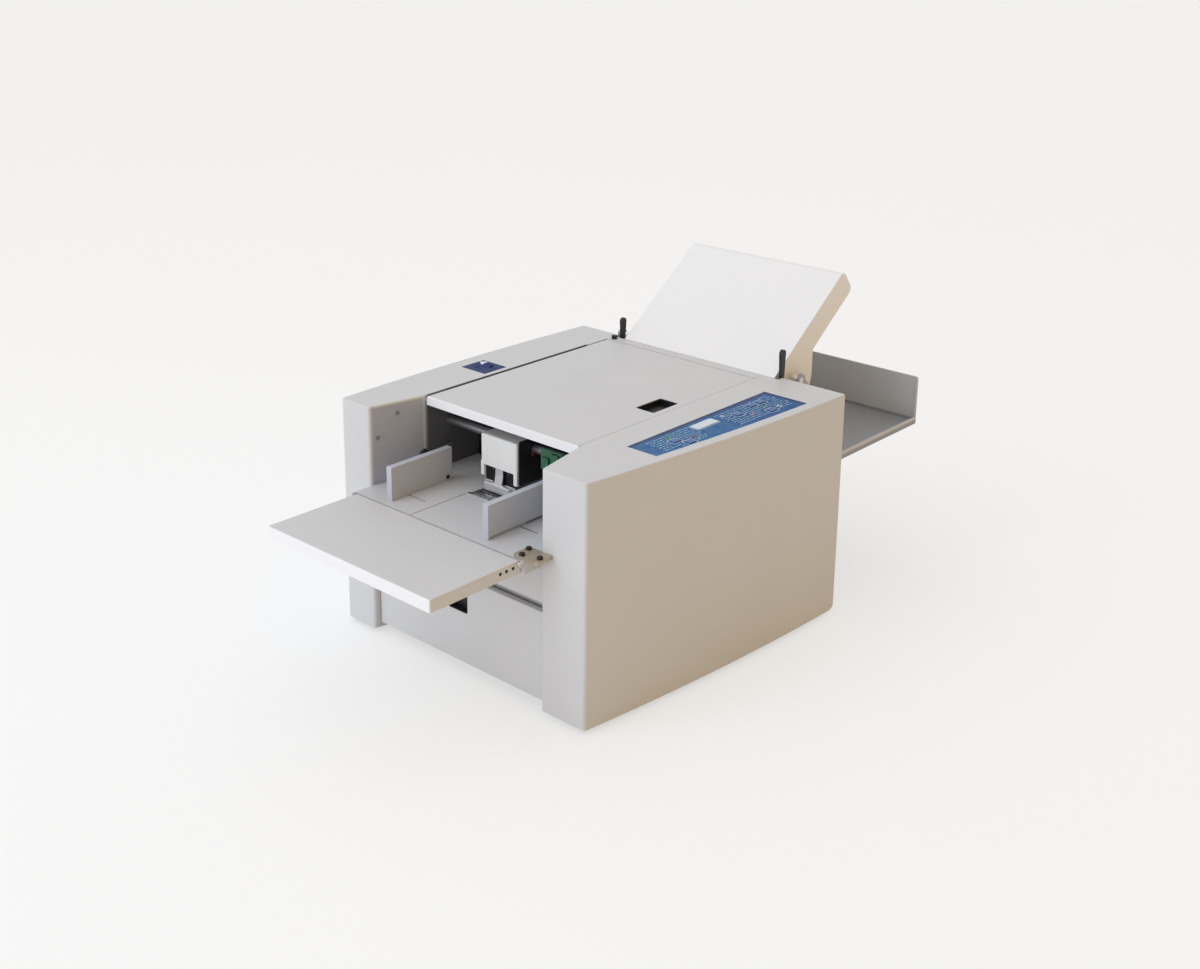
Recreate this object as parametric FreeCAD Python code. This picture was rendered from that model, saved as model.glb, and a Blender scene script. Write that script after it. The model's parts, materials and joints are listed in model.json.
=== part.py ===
import FreeCAD, Part
import math
import os

os.makedirs("parts", exist_ok=True)
V = FreeCAD.Vector

# All lengths are in millimetres and all angles in degrees.
# X runs across the machine, Y from the feed end to the delivery end, Z up.
# While drawing, X is zero at the middle of the front opening, Y at the
# front faces of the side covers and Z on the table that carries the feet.

overrun = 5.0
running_gap = 0.3
seat_gap = 0.3
shaft_gap = 0.06
sheet = 1.5
steel_plate = 3.0
shell_wall = 3.0

# Body
body_top = 384.0
ground_gap = 8.0
cover_depth = 567.0
opening_width = 370.0
throat_width = 330.0
flare_length = 99.0
inner_wall_length = 215.0
left_cover_width = 66.0
right_cover_width = 84.0
left_flare = 0.0
right_flare = 49.0
left_bow = 8.0
right_bow = 9.0
cover_edge_radius = 5.0
cover_heel_radius = 16.0
cover_rim_radius = 2.5
shelf_width = 5.0
shelf_height = 7.0

# Chassis
foot_height = 16.0
foot_radius = 14.0
foot_toe_radius = 11.0
foot_inset = 22.0
left_frame_x = -195.0
right_frame_x = 200.0
frame_front = 42.0
frame_setback = 7.0
frame_top_gap = 20.0
ear_reach = 83.0
ear_drop = 119.0
ear_shoulder_drop = 45.0
ear_radius = 11.0
flange_height = 12.0
tie_radius = 6.0
front_ties = ((235.0, 50.0), (235.0, 178.0), (330.0, 190.0))
rear_ties = ((107.0, 60.0),)
top_tie_setback = 97.0
top_tie_drop = 33.0

# Lid
lid_thickness = 15.0
lid_skin = 2.5
lid_gap = 2.0
lid_setback = 36.0
lid_edge_radius = 2.0
lid_barrel_radius = 6.0
lid_pin_radius = 2.0
lid_barrel_front = 141.0
lid_barrel_setback = 87.0
knuckle_front = 225.0
knuckle_setback = 112.0
knuckle_width = 8.0
knuckle_gap = 0.6
knuckle_drop = 22.0
lid_rib_count = 3
cup_inner_gap = 12.0
cup_width = 36.6
cup_length = 62.0
cup_middle_y = 314.6
cup_depth = 11.0
cup_wall = 1.5
cup_rim = 1.2
cup_corner = 4.0

# Rear top strip
strip_thickness = 9.0
strip_gap = 1.0
strip_setback = 14.8

# Feed table and its front lip
table_drop = 129.5
table_sheet = 2.5
table_front = -33.0
lip_width = 366.0
lip_drop = 20.0
table_rear = 212.0
table_gap = 0.8
slot_y = 32.0
slot_width = 4.0
groove_x = -54.0
groove_width = 2.4
groove_depth = 1.2
groove_rear = 84.0
drum_window = 32.0

# Feed tray
tray_width = 352.0
tray_front = -203.5
tray_thickness = 19.0
tray_skin = 2.5
tray_corner = 3.2
tray_hinge_gap = 1.2
tray_hinge_round = 4.0
tray_pin_radius = 2.0
tray_rib_count = 3
tray_edge_radius = 1.5

# Tray bracket
bracket_width = 46.0
bracket_length = 33.0
bracket_height = 5.0
bracket_sheet = 2.0
bracket_overhang = 24.0
screw_head_radius = 3.6
screw_head_height = 3.2
screw_radius = 1.5
bracket_screw_shares = ((0.28, 0.15), (0.13, 0.78), (0.86, 0.40))

# Side guides
guide_centre = -13.5
guide_spacing = 199.0
guide_front = -19.0
guide_rear = 106.0
guide_height = 54.0
guide_sheet = 2.0
guide_flange = 11.0
guide_foot = 9.0
guide_nose = 2.0
guide_foot_rear = 60.0
guide_neck = 4.0
rack_length = 172.0
rack_back = 4.0
rack_thickness = 5.0
gear_gap = 0.12
rack_module = 1.25
pinion_teeth = 20
pinion_width = 6.0
pinion_post_radius = 3.0
guide_out = 36.0
guide_in = 40.0

# Front apron and lower door
apron_setback = 10.0
apron_drop = 81.5
ledge_depth = 16.0
door_top_gap = 14.5
door_low = 17.0
door_skin = 2.5
door_flange = 9.0
door_gap = 1.0
door_pin_radius = 2.5
door_pin_length = 9.0
door_lug = 12.0
door_hinge_height = 24.0
door_hinge_depth = 6.0
door_cup_width = 42.0
door_cup_height = 38.0
door_cup_drop = 58.5
door_cup_depth = 14.0

# Separator over the drum
head_left = -52.0
head_right = 26.0
head_front = 111.0
head_depth = 62.0
head_drop = 34.5
head_rise = 15.5
head_leg_drop = 53.0
head_leg_width = 7.0
head_wall = 3.0
head_edge_radius = 3.0
head_cheek_depth = 58.0
bar_radius = 7.0
bar_depth = 38.0
bar_drop = 37.5
gate_left = -41.0
gate_right = 12.5
gate_lip_gap = 5.5
gate_lip_height = 11.0
gate_lip_depth = 4.0
gate_plate = 2.0
gate_hole_count = 3
gate_hole_radius = 2.5
gate_hole_drop = 5.0
gate_finger_width = 22.0
gate_finger_drop = 10.0

# Suction drum
drum_radius = 27.0
drum_proud = 0.4
drum_y = 100.0
drum_left = -48.0
drum_length = 70.0
drum_bore = 21.0
drum_hole_radius = 2.2
drum_hole_count = 12
drum_groove_count = 3
drum_groove_width = 3.0
drum_groove_depth = 1.0
drum_shaft_radius = 5.0
drum_bracket_thickness = 4.0
drum_bracket_width = 46.0
drum_bracket_drop = 22.0
drum_end_gap = 3.0
drum_motor_radius = 20.0
drum_motor_length = 52.0
drum_hole_rows = 2

# Throat panel and board
throat_panel_sheet = 2.0
throat_slot = 9.0
throat_top_gap = 4.0
chute_half = 158.0
chute_height = 6.0
chute_end_gap = 18.0
chute_tab_length = 20.0
board_width = 42.0
board_height = 34.0
board_thickness = 1.6
board_left = 53.0
board_drop = 22.5
board_front = 136.0
board_post_radius = 2.0
board_chip_shares = ((0.12, 0.15, 0.42, 0.62), (0.60, 0.20, 0.86, 0.44), (0.58, 0.60, 0.90, 0.88))
board_chip_height = 3.5

# Fold rollers and their gears
roller_radius = 15.0
roller_nip_gap = 0.3
roller_left = -160.0
roller_right = 190.0
roller_shaft_radius = 6.0
plate_slope = 36.87
nip_setback = 56.0
nip_drop = 56.0
gear_teeth = 20
gear_pressure = 20.0
gear_addendum_share = 0.9
gear_dedendum_share = 1.25
gear_backlash = 0.35
gear_start = 206.0
gear_width = 8.0
shaft_stub = 3.0
bush_radius = 10.0
bush_flange = 2.0
pulley_start = 217.0
pulley_width = 10.0
pulley_rim = 1.5
pulley_rim_height = 2.5
roller_pulley_radius = 22.0
motor_pulley_radius = 11.0
belt_thickness = 2.0
belt_gap = 0.3
motor_setback = 77.0
motor_z = 100.0
motor_radius = 38.0
motor_length = 120.0
motor_shaft_radius = 5.0
motor_foot = 8.0
motor_boss_radius = 14.0
motor_fin_count = 4

# Upper fold plate
upper_plate_left = -140.0
upper_plate_right = 186.0
plate_foot_setback = 12.6
upper_plate_length = 246.0
upper_plate_thickness = 47.0
upper_foot_depth = 111.2
upper_pivot_drop = 13.5
upper_wall = 3.0
upper_guide_gap = 22.0
upper_nose_radius = 11.0
upper_slot = 9.0
pivot_radius = 5.0
upper_stop_length = 12.0
upper_stop_start = 178.0

# Lock levers and trim knob
left_lever_gap = 12.0
right_lever_gap = 4.0
lever_thickness = 5.0
lever_setback = 1.0
lever_drop = 27.0
lever_hub_radius = 7.0
lever_pin_radius = 3.0
lever_length = 61.0
lever_stem = 3.2
lever_head_radius = 6.5
right_lever_length = 75.0
knob_x = -153.0
knob_setback = 26.0
knob_radius = 5.0
knob_height = 6.0
knob_stem_radius = 2.0
knob_flutes = 8
knob_flute_radius = 1.0

# Lower fold plate
lower_plate_half = 155.0
lower_plate_start = 50.0
lower_plate_length = 175.0
lower_plate_slot = 4.0
lower_stop_start = 120.0
lower_stop_size = 12.0
lower_plate_rail = 8.0

# Rear panel, inlet and tray
rear_panel_left = -190.0
rear_panel_right = 198.0
rear_panel_sheet = 2.5
rear_panel_drop = 121.0
rear_panel_low = 18.0
exit_lip_inset = 32.0
exit_lip_reach = 12.0
exit_lip_rise = 7.0
vent_count = 9
vent_pitch = 12.0
vent_width = 5.0
vent_length = 90.0
vent_left = -150.0
vent_low = 130.0
inlet_x = 120.0
inlet_z = 70.0
inlet_width = 30.0
inlet_height = 24.0
inlet_depth = 22.0
inlet_wall = 2.0
inlet_blade = (2.0, 6.0, 12.0)
inlet_blade_offset = 7.0
inlet_flange = 5.0
stack_left = -222.0
stack_right = 287.0
stack_drop = 130.5
stack_gap = 4.0
stack_length = 292.0
stack_wall_height = 81.0
stack_rim = 10.0
stack_corner = 12.0
hook_width = 24.0
hook_reach = 60.0
hook_sheet = 3.0
hook_share = 0.22

# Control panel
panel_inner_x = 215.0
panel_front = 146.0
panel_setback = 81.0
panel_outer_gap = 18.0
panel_thickness = 1.0
display_x = 239.0
display_y = 298.0
display_width = 17.0
display_length = 50.0
display_thickness = 0.8
button_width = 11.0
button_length = 15.0
button_proud = 1.4
button_travel = 0.8
button_corner = 2.0
button_places = {
    "start_button": (251.0, 212.0),
    "stop_button": (270.0, 225.0),
    "test_button": (240.0, 440.0),
    "plus_button": (249.0, 369.0),
    "minus_button": (240.0, 416.0),
    "clear_button": (275.0, 422.0),
}

# Power switch
switch_x = -203.0
switch_y = 265.0
switch_plate_width = 56.0
switch_plate_length = 52.0
switch_plate_thickness = 1.0
rocker_width = 17.0
rocker_length = 26.0
rocker_body_depth = 16.0
rocker_rise = 3.0
rocker_tilt = 8.0
rocker_pin_radius = 1.5
rocker_side_gap = 0.9
rocker_end_gap = 1.5

# Pump, hose and wall fittings
pump_left = -150.0
pump_width = 110.0
pump_front = 300.0
pump_setback = 117.0
pump_height = 70.0
pump_head_radius = 24.0
pump_head_height = 26.0
pump_port_radius = 7.0
pump_port_length = 14.0
pump_port_x = -110.0
pump_port_share = 0.43
pump_edge_radius = 5.0
pump_can_radius = 28.0
pump_can_length = 60.0
hose_radius = 7.0
hose_lane_x = -135.0
hose_drop = 32.5
hose_dip = 3.5
hose_turn_y = 232.0
hose_run_share = 0.45
fitting_places = ((49.0, 19.0, 3.0), (14.0, 53.0, 3.0), (91.0, 95.0, 5.0))
fitting_height = 1.6
latch_y = 146.0
latch_drop = 95.0
latch_length = 26.0
latch_rise = -5.0
latch_sheet = 3.0
latch_pin_radius = 5.0
latch_half = 3.5


def box(x0, x1, y0, y1, z0, z1):
    return Part.makeBox(x1 - x0, y1 - y0, z1 - z0, V(x0, y0, z0))


def rod(radius, start, end):
    first = V(*start)
    along = V(*end) - first
    return Part.makeCylinder(radius, along.Length, first, along)


def tube(outer, inner, start, end):
    return rod(outer, start, end).cut(rod(inner, start, end))


def join(shapes):
    solid = shapes[0]
    for shape in shapes[1:]:
        solid = solid.fuse(shape)
    return solid.removeSplitter()


def gather(*shapes):
    """Several solids that stay apart, as one group."""
    return Part.makeCompound([solid for shape in shapes for solid in shape.Solids])


def place(axis, level, point):
    a, b = point
    return {"x": V(level, a, b), "y": V(a, level, b), "z": V(a, b, level)}[axis]


def profile(axis, level, path):
    """A flat face: each step is a corner, or a pair giving an arc's middle and end."""
    edges = []
    here = path[0]
    for step in list(path[1:]) + [path[0]]:
        if isinstance(step[0], tuple):
            middle, end = step
            ends = [place(axis, level, p) for p in (here, middle, end)]
            edges.append(Part.Arc(*ends).toShape())
            here = end
        elif math.dist(step, here) > 0:
            edges.append(Part.LineSegment(place(axis, level, here), place(axis, level, step)).toShape())
            here = step
    return Part.Face(Part.Wire(edges))


def prism(axis, low, high, path):
    return profile(axis, low, path).extrude(place(axis, high - low, (0, 0)))


def rounded(axis, low, high, a0, a1, b0, b1, radius):
    """A rectangular block with its four corner edges along the axis rounded."""
    k = radius * (1 - math.sqrt(0.5))
    path = [(a0 + radius, b0), (a1 - radius, b0), ((a1 - k, b0 + k), (a1, b0 + radius)),
            (a1, b1 - radius), ((a1 - k, b1 - k), (a1 - radius, b1)), (a0 + radius, b1),
            ((a0 + k, b1 - k), (a0, b1 - radius)), (a0, b0 + radius), ((a0 + k, b0 + k), (a0 + radius, b0))]
    return prism(axis, low, high, path)


def fillet(shape, radius, chosen):
    """Round the edges whose middle point satisfies the test."""
    edges = [e for e in shape.Edges if chosen(e, e.valueAt((e.FirstParameter + e.LastParameter) / 2))]
    return shape.makeFillet(radius, edges) if edges else shape


def spread(low, high, count):
    """Even places between two ends, ends left out."""
    return [low + (high - low) * (i + 1) / (count + 1) for i in range(count)]


# Places that follow from the sizes above
inner_front = opening_width / 2
inner_throat = throat_width / 2
lid_left = -inner_throat + lid_gap
lid_right = inner_throat - lid_gap
table_top = body_top - table_drop
apron_low = table_top - apron_drop
door_top = apron_low - door_top_gap
door_cup_low = door_top - door_cup_drop
nip_z = body_top - nip_drop
upper_pivot_z = body_top - upper_pivot_drop
lever_z = body_top - lever_drop
ear_low = body_top - ear_drop
ear_shoulder = body_top - ear_shoulder_drop
rear_panel_top = body_top - rear_panel_drop
stack_floor = body_top - stack_drop
hose_rise = table_top - hose_drop
hose_sag = hose_rise - hose_dip
latch_z = body_top - latch_drop
lid_low = body_top - lid_thickness
bar_height = lid_low - bar_drop
head_low = bar_height - head_drop
head_top = bar_height + head_rise
head_leg_low = bar_height - head_leg_drop
gate_lip_low = table_top + gate_lip_gap
gate_finger_bend = head_low - gate_finger_drop
board_low = bar_height - board_drop
lid_axis_x = lid_left + lid_barrel_radius
lid_axis_z = body_top - lid_barrel_radius
frame_top = body_top - frame_top_gap
base_step = inner_wall_length + shell_wall
lid_rear = cover_depth - lid_setback
lid_barrel_rear = cover_depth - lid_barrel_setback
lid_knuckles = (knuckle_front, cover_depth - knuckle_setback)
strip_rear = cover_depth - strip_setback
frame_rear = cover_depth - frame_setback
ear_rear = cover_depth + ear_reach
tie_places = front_ties + tuple((cover_depth - back, z) for back, z in rear_ties)
tie_places += ((cover_depth - top_tie_setback, body_top - top_tie_drop),)
nip_y = cover_depth - nip_setback
motor_y = cover_depth - motor_setback
upper_plate_foot_y = cover_depth - plate_foot_setback
lever_y = cover_depth - lever_setback
knob_y = cover_depth - knob_setback
stack_front = cover_depth + stack_gap
stack_rear = stack_front + stack_length
panel_rear = cover_depth - panel_setback
pump_length = cover_depth - pump_setback - pump_front
pump_port_y = pump_front + pump_length * pump_port_share
slope_cos = math.cos(math.radians(plate_slope))
slope_sin = math.sin(math.radians(plate_slope))
upper_pivot_y = upper_plate_foot_y + upper_foot_depth / 2
drum_z = table_top - drum_radius + drum_proud
tray_hinge_y = table_front - tray_hinge_gap - tray_hinge_round
tray_hinge_z = table_top - tray_hinge_round
pinion_radius = rack_module * pinion_teeth / 2
pinion_top = table_top - table_sheet - seat_gap


def roller_centres():
    """The four roller axes, each pair a nip apart, as the sheet's path bends."""
    pitch = 2 * roller_radius + roller_nip_gap
    across = (-slope_sin, slope_cos)
    along = (slope_cos, -slope_sin)
    half = pitch / 2
    first = (nip_y + across[0] * half, nip_z + across[1] * half)
    second = (nip_y - across[0] * half, nip_z - across[1] * half)
    third = (second[0] + along[0] * pitch, second[1] + along[1] * pitch)
    fourth = (third[0] - slope_sin * pitch, third[1] - slope_cos * pitch)
    return [first, second, third, fourth]


rollers = roller_centres()
gear_module = (2 * roller_radius + roller_nip_gap) / gear_teeth


def cover_width(side):
    """Outer x at the front and the back, and the bow between them."""
    width, flare, bow = (left_cover_width, left_flare, left_bow) if side < 0 else (
        right_cover_width, right_flare, right_bow)
    front = inner_front + width
    return front, front + flare, bow


def outer_x(side, y, inset):
    front, back, bow = cover_width(side)
    t = y / cover_depth
    return side * (front + (back - front) * t + 4 * bow * t * (1 - t) - inset)


def wall_x(y):
    """Inner face of a side cover beside the feed opening."""
    return inner_throat + (inner_front - inner_throat) * max(0, 1 - y / flare_length)


def mirrored(side, path):
    """Flip the first coordinate of a path of corners and arcs."""
    flip = []
    for step in path:
        flip.append(tuple((side * p[0], p[1]) for p in step) if isinstance(step[0], tuple)
                    else (side * step[0], step[1]))
    return flip


def cover_plan(side, inset, low, high, back, inner):
    front, rear, bow = cover_width(side)
    lean = (inner_front - inner_throat) / flare_length
    slant = inset * math.sqrt(1 + lean * lean)
    middle = (front + rear) / 2 + bow - inset
    path = [(inner_front - lean * inset + slant, inset), (front - inset, inset),
            ((middle, cover_depth / 2), (rear - inset, cover_depth - inset)),
            (inner, cover_depth - inset), (inner, back), (inner_throat + slant, back),
            (inner_throat + slant, flare_length)]
    return prism("z", low, high, mirrored(side, path))


def side_cover(side):
    front, rear, bow = cover_width(side)
    path = [(inner_front, 0), (front, 0), (((front + rear) / 2 + bow, cover_depth / 2), (rear, cover_depth)),
            (inner_throat, cover_depth), (inner_throat, flare_length)]
    body = prism("z", ground_gap, body_top, mirrored(side, path))

    def outer_corner(edge, middle):
        upright = abs(edge.tangentAt(edge.FirstParameter).z) > 0.9
        return upright and side * middle.x > inner_front - overrun and abs(middle.z - body_top) > overrun

    body = fillet(body, cover_edge_radius, outer_corner)
    body = fillet(body, cover_rim_radius, lambda e, m: abs(m.z - body_top) < running_gap
                  and side * m.x > inner_front + overrun)
    rim_low = lid_low
    top_inside = body_top - shell_wall
    body = body.cut(cover_plan(side, shell_wall, ground_gap - overrun, top_inside,
                               inner_wall_length, inner_throat + shell_wall))
    frame_out = abs(left_frame_x if side < 0 else right_frame_x + steel_plate) + overrun / 2
    near = sorted((side * (inner_throat - overrun), side * (inner_throat + shell_wall + overrun)))
    body = body.cut(box(near[0], near[1], inner_wall_length, cover_depth - shell_wall,
                        ground_gap - overrun, rim_low))
    wide = sorted((side * (inner_throat - overrun), side * frame_out))
    body = body.cut(box(wide[0], wide[1], cover_depth - shell_wall - overrun, cover_depth + overrun,
                        ground_gap - overrun, rim_low))
    heel = box(-rear - overrun, rear + overrun, cover_depth - cover_heel_radius, cover_depth + overrun,
               ground_gap - overrun, ground_gap + cover_heel_radius)
    centre = (cover_depth - cover_heel_radius, ground_gap + cover_heel_radius)
    heel = heel.cut(rod(cover_heel_radius, (-rear - overrun, *centre), (rear + overrun, *centre)))
    body = body.cut(heel)
    strip = inner_throat - lid_gap + strip_gap / 2
    spans = [(flare_length, lid_barrel_front), (lid_barrel_rear, cover_depth)] if side < 0 else [
        (flare_length, cover_depth)]
    for start, end in spans:
        edge = sorted((side * strip, side * inner_throat))
        body = body.fuse(box(edge[0], edge[1], start, end, body_top - strip_thickness, body_top))
    shelf = sorted((side * inner_throat, side * (inner_throat - shelf_width)))
    top = table_top - table_sheet
    shelf_rear = table_rear - table_sheet - seat_gap
    body = body.fuse(box(shelf[0], shelf[1], flare_length, shelf_rear, top - shelf_height, top))
    hinge = (apron_setback + door_hinge_depth, door_hinge_height)
    pin = sorted((side * (inner_throat - overrun), side * (inner_front + overrun)))
    body = body.cut(rod(door_pin_radius + shaft_gap, (pin[0], *hinge), (pin[1], *hinge)))
    return body.removeSplitter()


def left_side_cover():
    body = side_cover(-1)
    half_w = rocker_width / 2 + rocker_side_gap
    half_l = rocker_length / 2 + rocker_end_gap
    plate = box(switch_x - switch_plate_width / 2, switch_x + switch_plate_width / 2,
                switch_y - switch_plate_length / 2, switch_y + switch_plate_length / 2,
                body_top - switch_plate_thickness, body_top + overrun)
    hole = box(switch_x - half_w, switch_x + half_w, switch_y - half_l, switch_y + half_l,
               body_top - shell_wall - overrun, body_top + overrun)
    return body.cut(plate).cut(hole)


def right_side_cover():
    body = side_cover(1)
    notch = box(inner_throat - lid_gap - overrun, right_frame_x - overrun, strip_rear + strip_gap / 2,
                cover_depth + overrun, lid_low - upper_foot_depth, body_top + overrun)
    body = body.cut(notch).cut(panel_shape(body_top - panel_thickness, body_top + overrun, 0))
    for name in button_places:
        body = body.cut(button_hole(name, body_top - shell_wall - overrun, body_top + overrun))
    return body


def panel_shape(low, high, inset):
    middle = (panel_front + panel_rear) / 2
    gap = panel_outer_gap + inset
    path = [(panel_inner_x + inset, panel_front + inset),
            (outer_x(1, panel_front, gap), panel_front + inset),
            ((outer_x(1, middle, gap), middle), (outer_x(1, panel_rear, gap), panel_rear - inset)),
            (panel_inner_x + inset, panel_rear - inset)]
    return prism("z", low, high, path)


def button_hole(name, low, high):
    x, y = button_places[name]
    half_w = button_width / 2 + running_gap
    half_l = button_length / 2 + running_gap
    return rounded("z", low, high, x - half_w, x + half_w, y - half_l, y + half_l, button_corner)


def control_panel():
    body = panel_shape(body_top - panel_thickness, body_top, running_gap / 2)
    for name in button_places:
        body = body.cut(button_hole(name, body_top - panel_thickness - overrun, body_top + overrun))
    return body


def display_window():
    return rounded("z", body_top, body_top + display_thickness, display_x - display_width / 2,
                   display_x + display_width / 2, display_y - display_length / 2,
                   display_y + display_length / 2, button_corner)


def button(name):
    x, y = button_places[name]
    half_w = button_width / 2
    half_l = button_length / 2
    under = body_top - shell_wall - running_gap
    cap = rounded("z", under, body_top + button_proud, x - half_w, x + half_w,
                  y - half_l, y + half_l, button_corner)
    flange = box(x - half_w - button_corner, x + half_w + button_corner, y - half_l - button_corner,
                 y + half_l + button_corner, under - shell_wall / 2, under)
    return join([cap, flange])


def control_board():
    """The board under the buttons, held on posts from the cover's roof."""
    top = body_top - shell_wall * 2 - running_gap - button_travel - shell_wall / 2
    low = top - board_thickness
    body = panel_shape(low, top, panel_outer_gap / 3)
    roof = body_top - shell_wall
    for y in (panel_front + panel_outer_gap, display_y, panel_rear - panel_outer_gap):
        post = (panel_inner_x + panel_outer_gap / 2, y)
        body = body.fuse(rod(screw_radius, (*post, low), (*post, roof)))
    return body


def switch_plate():
    body = rounded("z", body_top - switch_plate_thickness, body_top,
                   switch_x - switch_plate_width / 2 + running_gap / 2,
                   switch_x + switch_plate_width / 2 - running_gap / 2,
                   switch_y - switch_plate_length / 2 + running_gap / 2,
                   switch_y + switch_plate_length / 2 - running_gap / 2, running_gap)
    half_w = rocker_width / 2 + rocker_side_gap
    half_l = rocker_length / 2 + rocker_end_gap
    return body.cut(box(switch_x - half_w, switch_x + half_w, switch_y - half_l, switch_y + half_l,
                        body_top - overrun, body_top + overrun))


rocker_axis = (switch_y, body_top - rocker_rise)


def switch_housing():
    half_w = rocker_width / 2 + rocker_side_gap
    half_l = rocker_length / 2 + rocker_end_gap
    top = body_top - shell_wall
    low = top - rocker_body_depth
    body = box(switch_x - half_w - inlet_wall, switch_x + half_w + inlet_wall,
               switch_y - half_l - inlet_wall, switch_y + half_l + inlet_wall, low, top)
    body = body.cut(box(switch_x - half_w, switch_x + half_w, switch_y - half_l, switch_y + half_l,
                        low + inlet_wall, top + overrun))
    post = rocker_pin_radius * 2
    y, z = rocker_axis
    for side in (-1, 1):
        face = switch_x + side * half_w
        arm = sorted((face, face - side * running_gap * 2))
        body = body.fuse(box(arm[0], arm[1], y - post, y + post, low, z + post / 2))
    return body.cut(rod(rocker_pin_radius + shaft_gap, (switch_x - half_w - overrun, *rocker_axis),
                        (switch_x + half_w + overrun, *rocker_axis)))


def power_rocker():
    half = rocker_length / 2
    y, z = rocker_axis
    path = [(y - half, z - rocker_rise), (y + half, z - rocker_rise), (y + half, z + rocker_rise * 1.5),
            (y, z + rocker_rise * 0.8), (y - half, z + rocker_rise * 1.5)]
    body = prism("x", switch_x - rocker_width / 2, switch_x + rocker_width / 2, path)
    reach = rocker_width / 2 + rocker_side_gap
    body = body.fuse(rod(rocker_pin_radius, (switch_x - reach, y, z), (switch_x + reach, y, z)))
    body.rotate(V(switch_x, y, z), V(1, 0, 0), rocker_tilt)
    return body.removeSplitter()


def top_lid():
    lean = lid_barrel_radius * math.sqrt(0.5)
    axis = (lid_axis_x, lid_axis_z)
    crown = ((axis[0] - lean, axis[1] + lean), (axis[0], body_top))
    body = prism("y", flare_length, lid_rear, [(lid_left, lid_axis_z), crown, (lid_right, body_top),
                                               (lid_right, lid_low), (lid_left, lid_low)])
    body = fillet(body, lid_edge_radius, lambda e, m: abs(m.z - body_top) < running_gap
                  and m.x > axis[0] + lid_pin_radius)
    front = flare_length + lid_skin
    rear = lid_rear - lid_skin
    under = body_top - lid_skin
    meet = math.asin((under - axis[1]) / lid_barrel_radius)
    sag = (meet - math.pi) / 2
    reach = lid_barrel_radius
    belly = ((axis[0] + reach * math.cos(sag), axis[1] + reach * math.sin(sag)), (lid_left, axis[1]))
    hollow = [(lid_right - lid_skin, under), (axis[0] + reach * math.cos(meet), under), belly,
              (lid_left - overrun, axis[1]), (lid_left - overrun, lid_low - overrun),
              (lid_right - lid_skin, lid_low - overrun)]
    body = body.cut(prism("y", front, rear, hollow))
    clear_x = axis[0] + reach + running_gap
    for y in spread(front, rear, lid_rib_count):
        body = body.fuse(box(clear_x, lid_right - lid_skin, y - lid_skin / 2, y + lid_skin / 2,
                             body_top - lid_skin * 3, under))
    bore = lid_pin_radius + shaft_gap
    body = body.cut(rod(bore, (axis[0], lid_barrel_front - knuckle_gap, axis[1]),
                        (axis[0], lid_barrel_rear + knuckle_gap, axis[1])))
    for y in lid_knuckles:
        body = body.cut(box(lid_left - overrun, clear_x, y - knuckle_gap, y + knuckle_width + knuckle_gap,
                            lid_low - overrun, under))
    return body.cut(cup_hole(running_gap / 2)).removeSplitter()


def cup_hole(gap):
    x1 = lid_right - cup_inner_gap + gap
    x0 = x1 - cup_width - gap * 2
    return rounded("z", body_top - cup_depth - overrun, body_top + overrun, x0, x1,
                   cup_middle_y - cup_length / 2 - gap, cup_middle_y + cup_length / 2 + gap, cup_corner)


def finger_cup():
    x1 = lid_right - cup_inner_gap
    x0 = x1 - cup_width
    y0 = cup_middle_y - cup_length / 2
    y1 = cup_middle_y + cup_length / 2
    body = rounded("z", body_top - cup_depth, body_top - cup_rim / 2, x0, x1, y0, y1, cup_corner)
    return body.cut(rounded("z", body_top - cup_depth + cup_wall, body_top + overrun, x0 + cup_wall,
                            x1 - cup_wall, y0 + cup_wall, y1 - cup_wall, cup_corner - cup_wall))


def lid_hinge_rod():
    return rod(lid_pin_radius, (lid_axis_x, lid_barrel_front, lid_axis_z),
               (lid_axis_x, lid_barrel_rear, lid_axis_z))


def lid_hinge_brackets():
    half = lid_pin_radius + running_gap * 4
    low = lid_low - knuckle_drop
    pieces = []
    for y in lid_knuckles:
        stem = box(lid_axis_x - half, lid_axis_x + half, y, y + knuckle_width, low, lid_axis_z)
        arm = box(left_frame_x + steel_plate, lid_axis_x + half, y, y + knuckle_width, low,
                  lid_low - knuckle_drop / 3)
        eye = rod(half, (lid_axis_x, y, lid_axis_z), (lid_axis_x, y + knuckle_width, lid_axis_z))
        hole = rod(lid_pin_radius, (lid_axis_x, y - overrun, lid_axis_z),
                   (lid_axis_x, y + knuckle_width + overrun, lid_axis_z))
        pieces.append(join([stem, arm, eye]).cut(hole))
    return Part.makeCompound(pieces)


def rear_top_strip():
    half = lid_right
    front = lid_rear + strip_gap
    low = body_top - strip_thickness
    knob = (knob_x, knob_y)
    body = box(-half, half, front, strip_rear, low, body_top)
    body = body.cut(box(-half + lid_skin, half - lid_skin, front + lid_skin, strip_rear - lid_skin,
                        low - overrun, body_top - lid_skin))
    body = body.fuse(rod(knob_radius, (*knob, low), (*knob, body_top - lid_skin / 2)))
    bore = rod(knob_stem_radius + shaft_gap, (*knob, low - overrun), (*knob, body_top + overrun))
    return body.cut(bore).removeSplitter()


def trim_knob():
    low = body_top + running_gap
    body = rod(knob_radius, (knob_x, knob_y, low), (knob_x, knob_y, low + knob_height))
    for i in range(knob_flutes):
        turn = 2 * math.pi * i / knob_flutes
        x = knob_x + knob_radius * math.cos(turn)
        y = knob_y + knob_radius * math.sin(turn)
        body = body.cut(rod(knob_flute_radius, (x, y, low - overrun), (x, y, low + knob_height + overrun)))
    stem = rod(knob_stem_radius, (knob_x, knob_y, body_top - strip_thickness),
               (knob_x, knob_y, low + running_gap))
    return join([body, stem])


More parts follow.
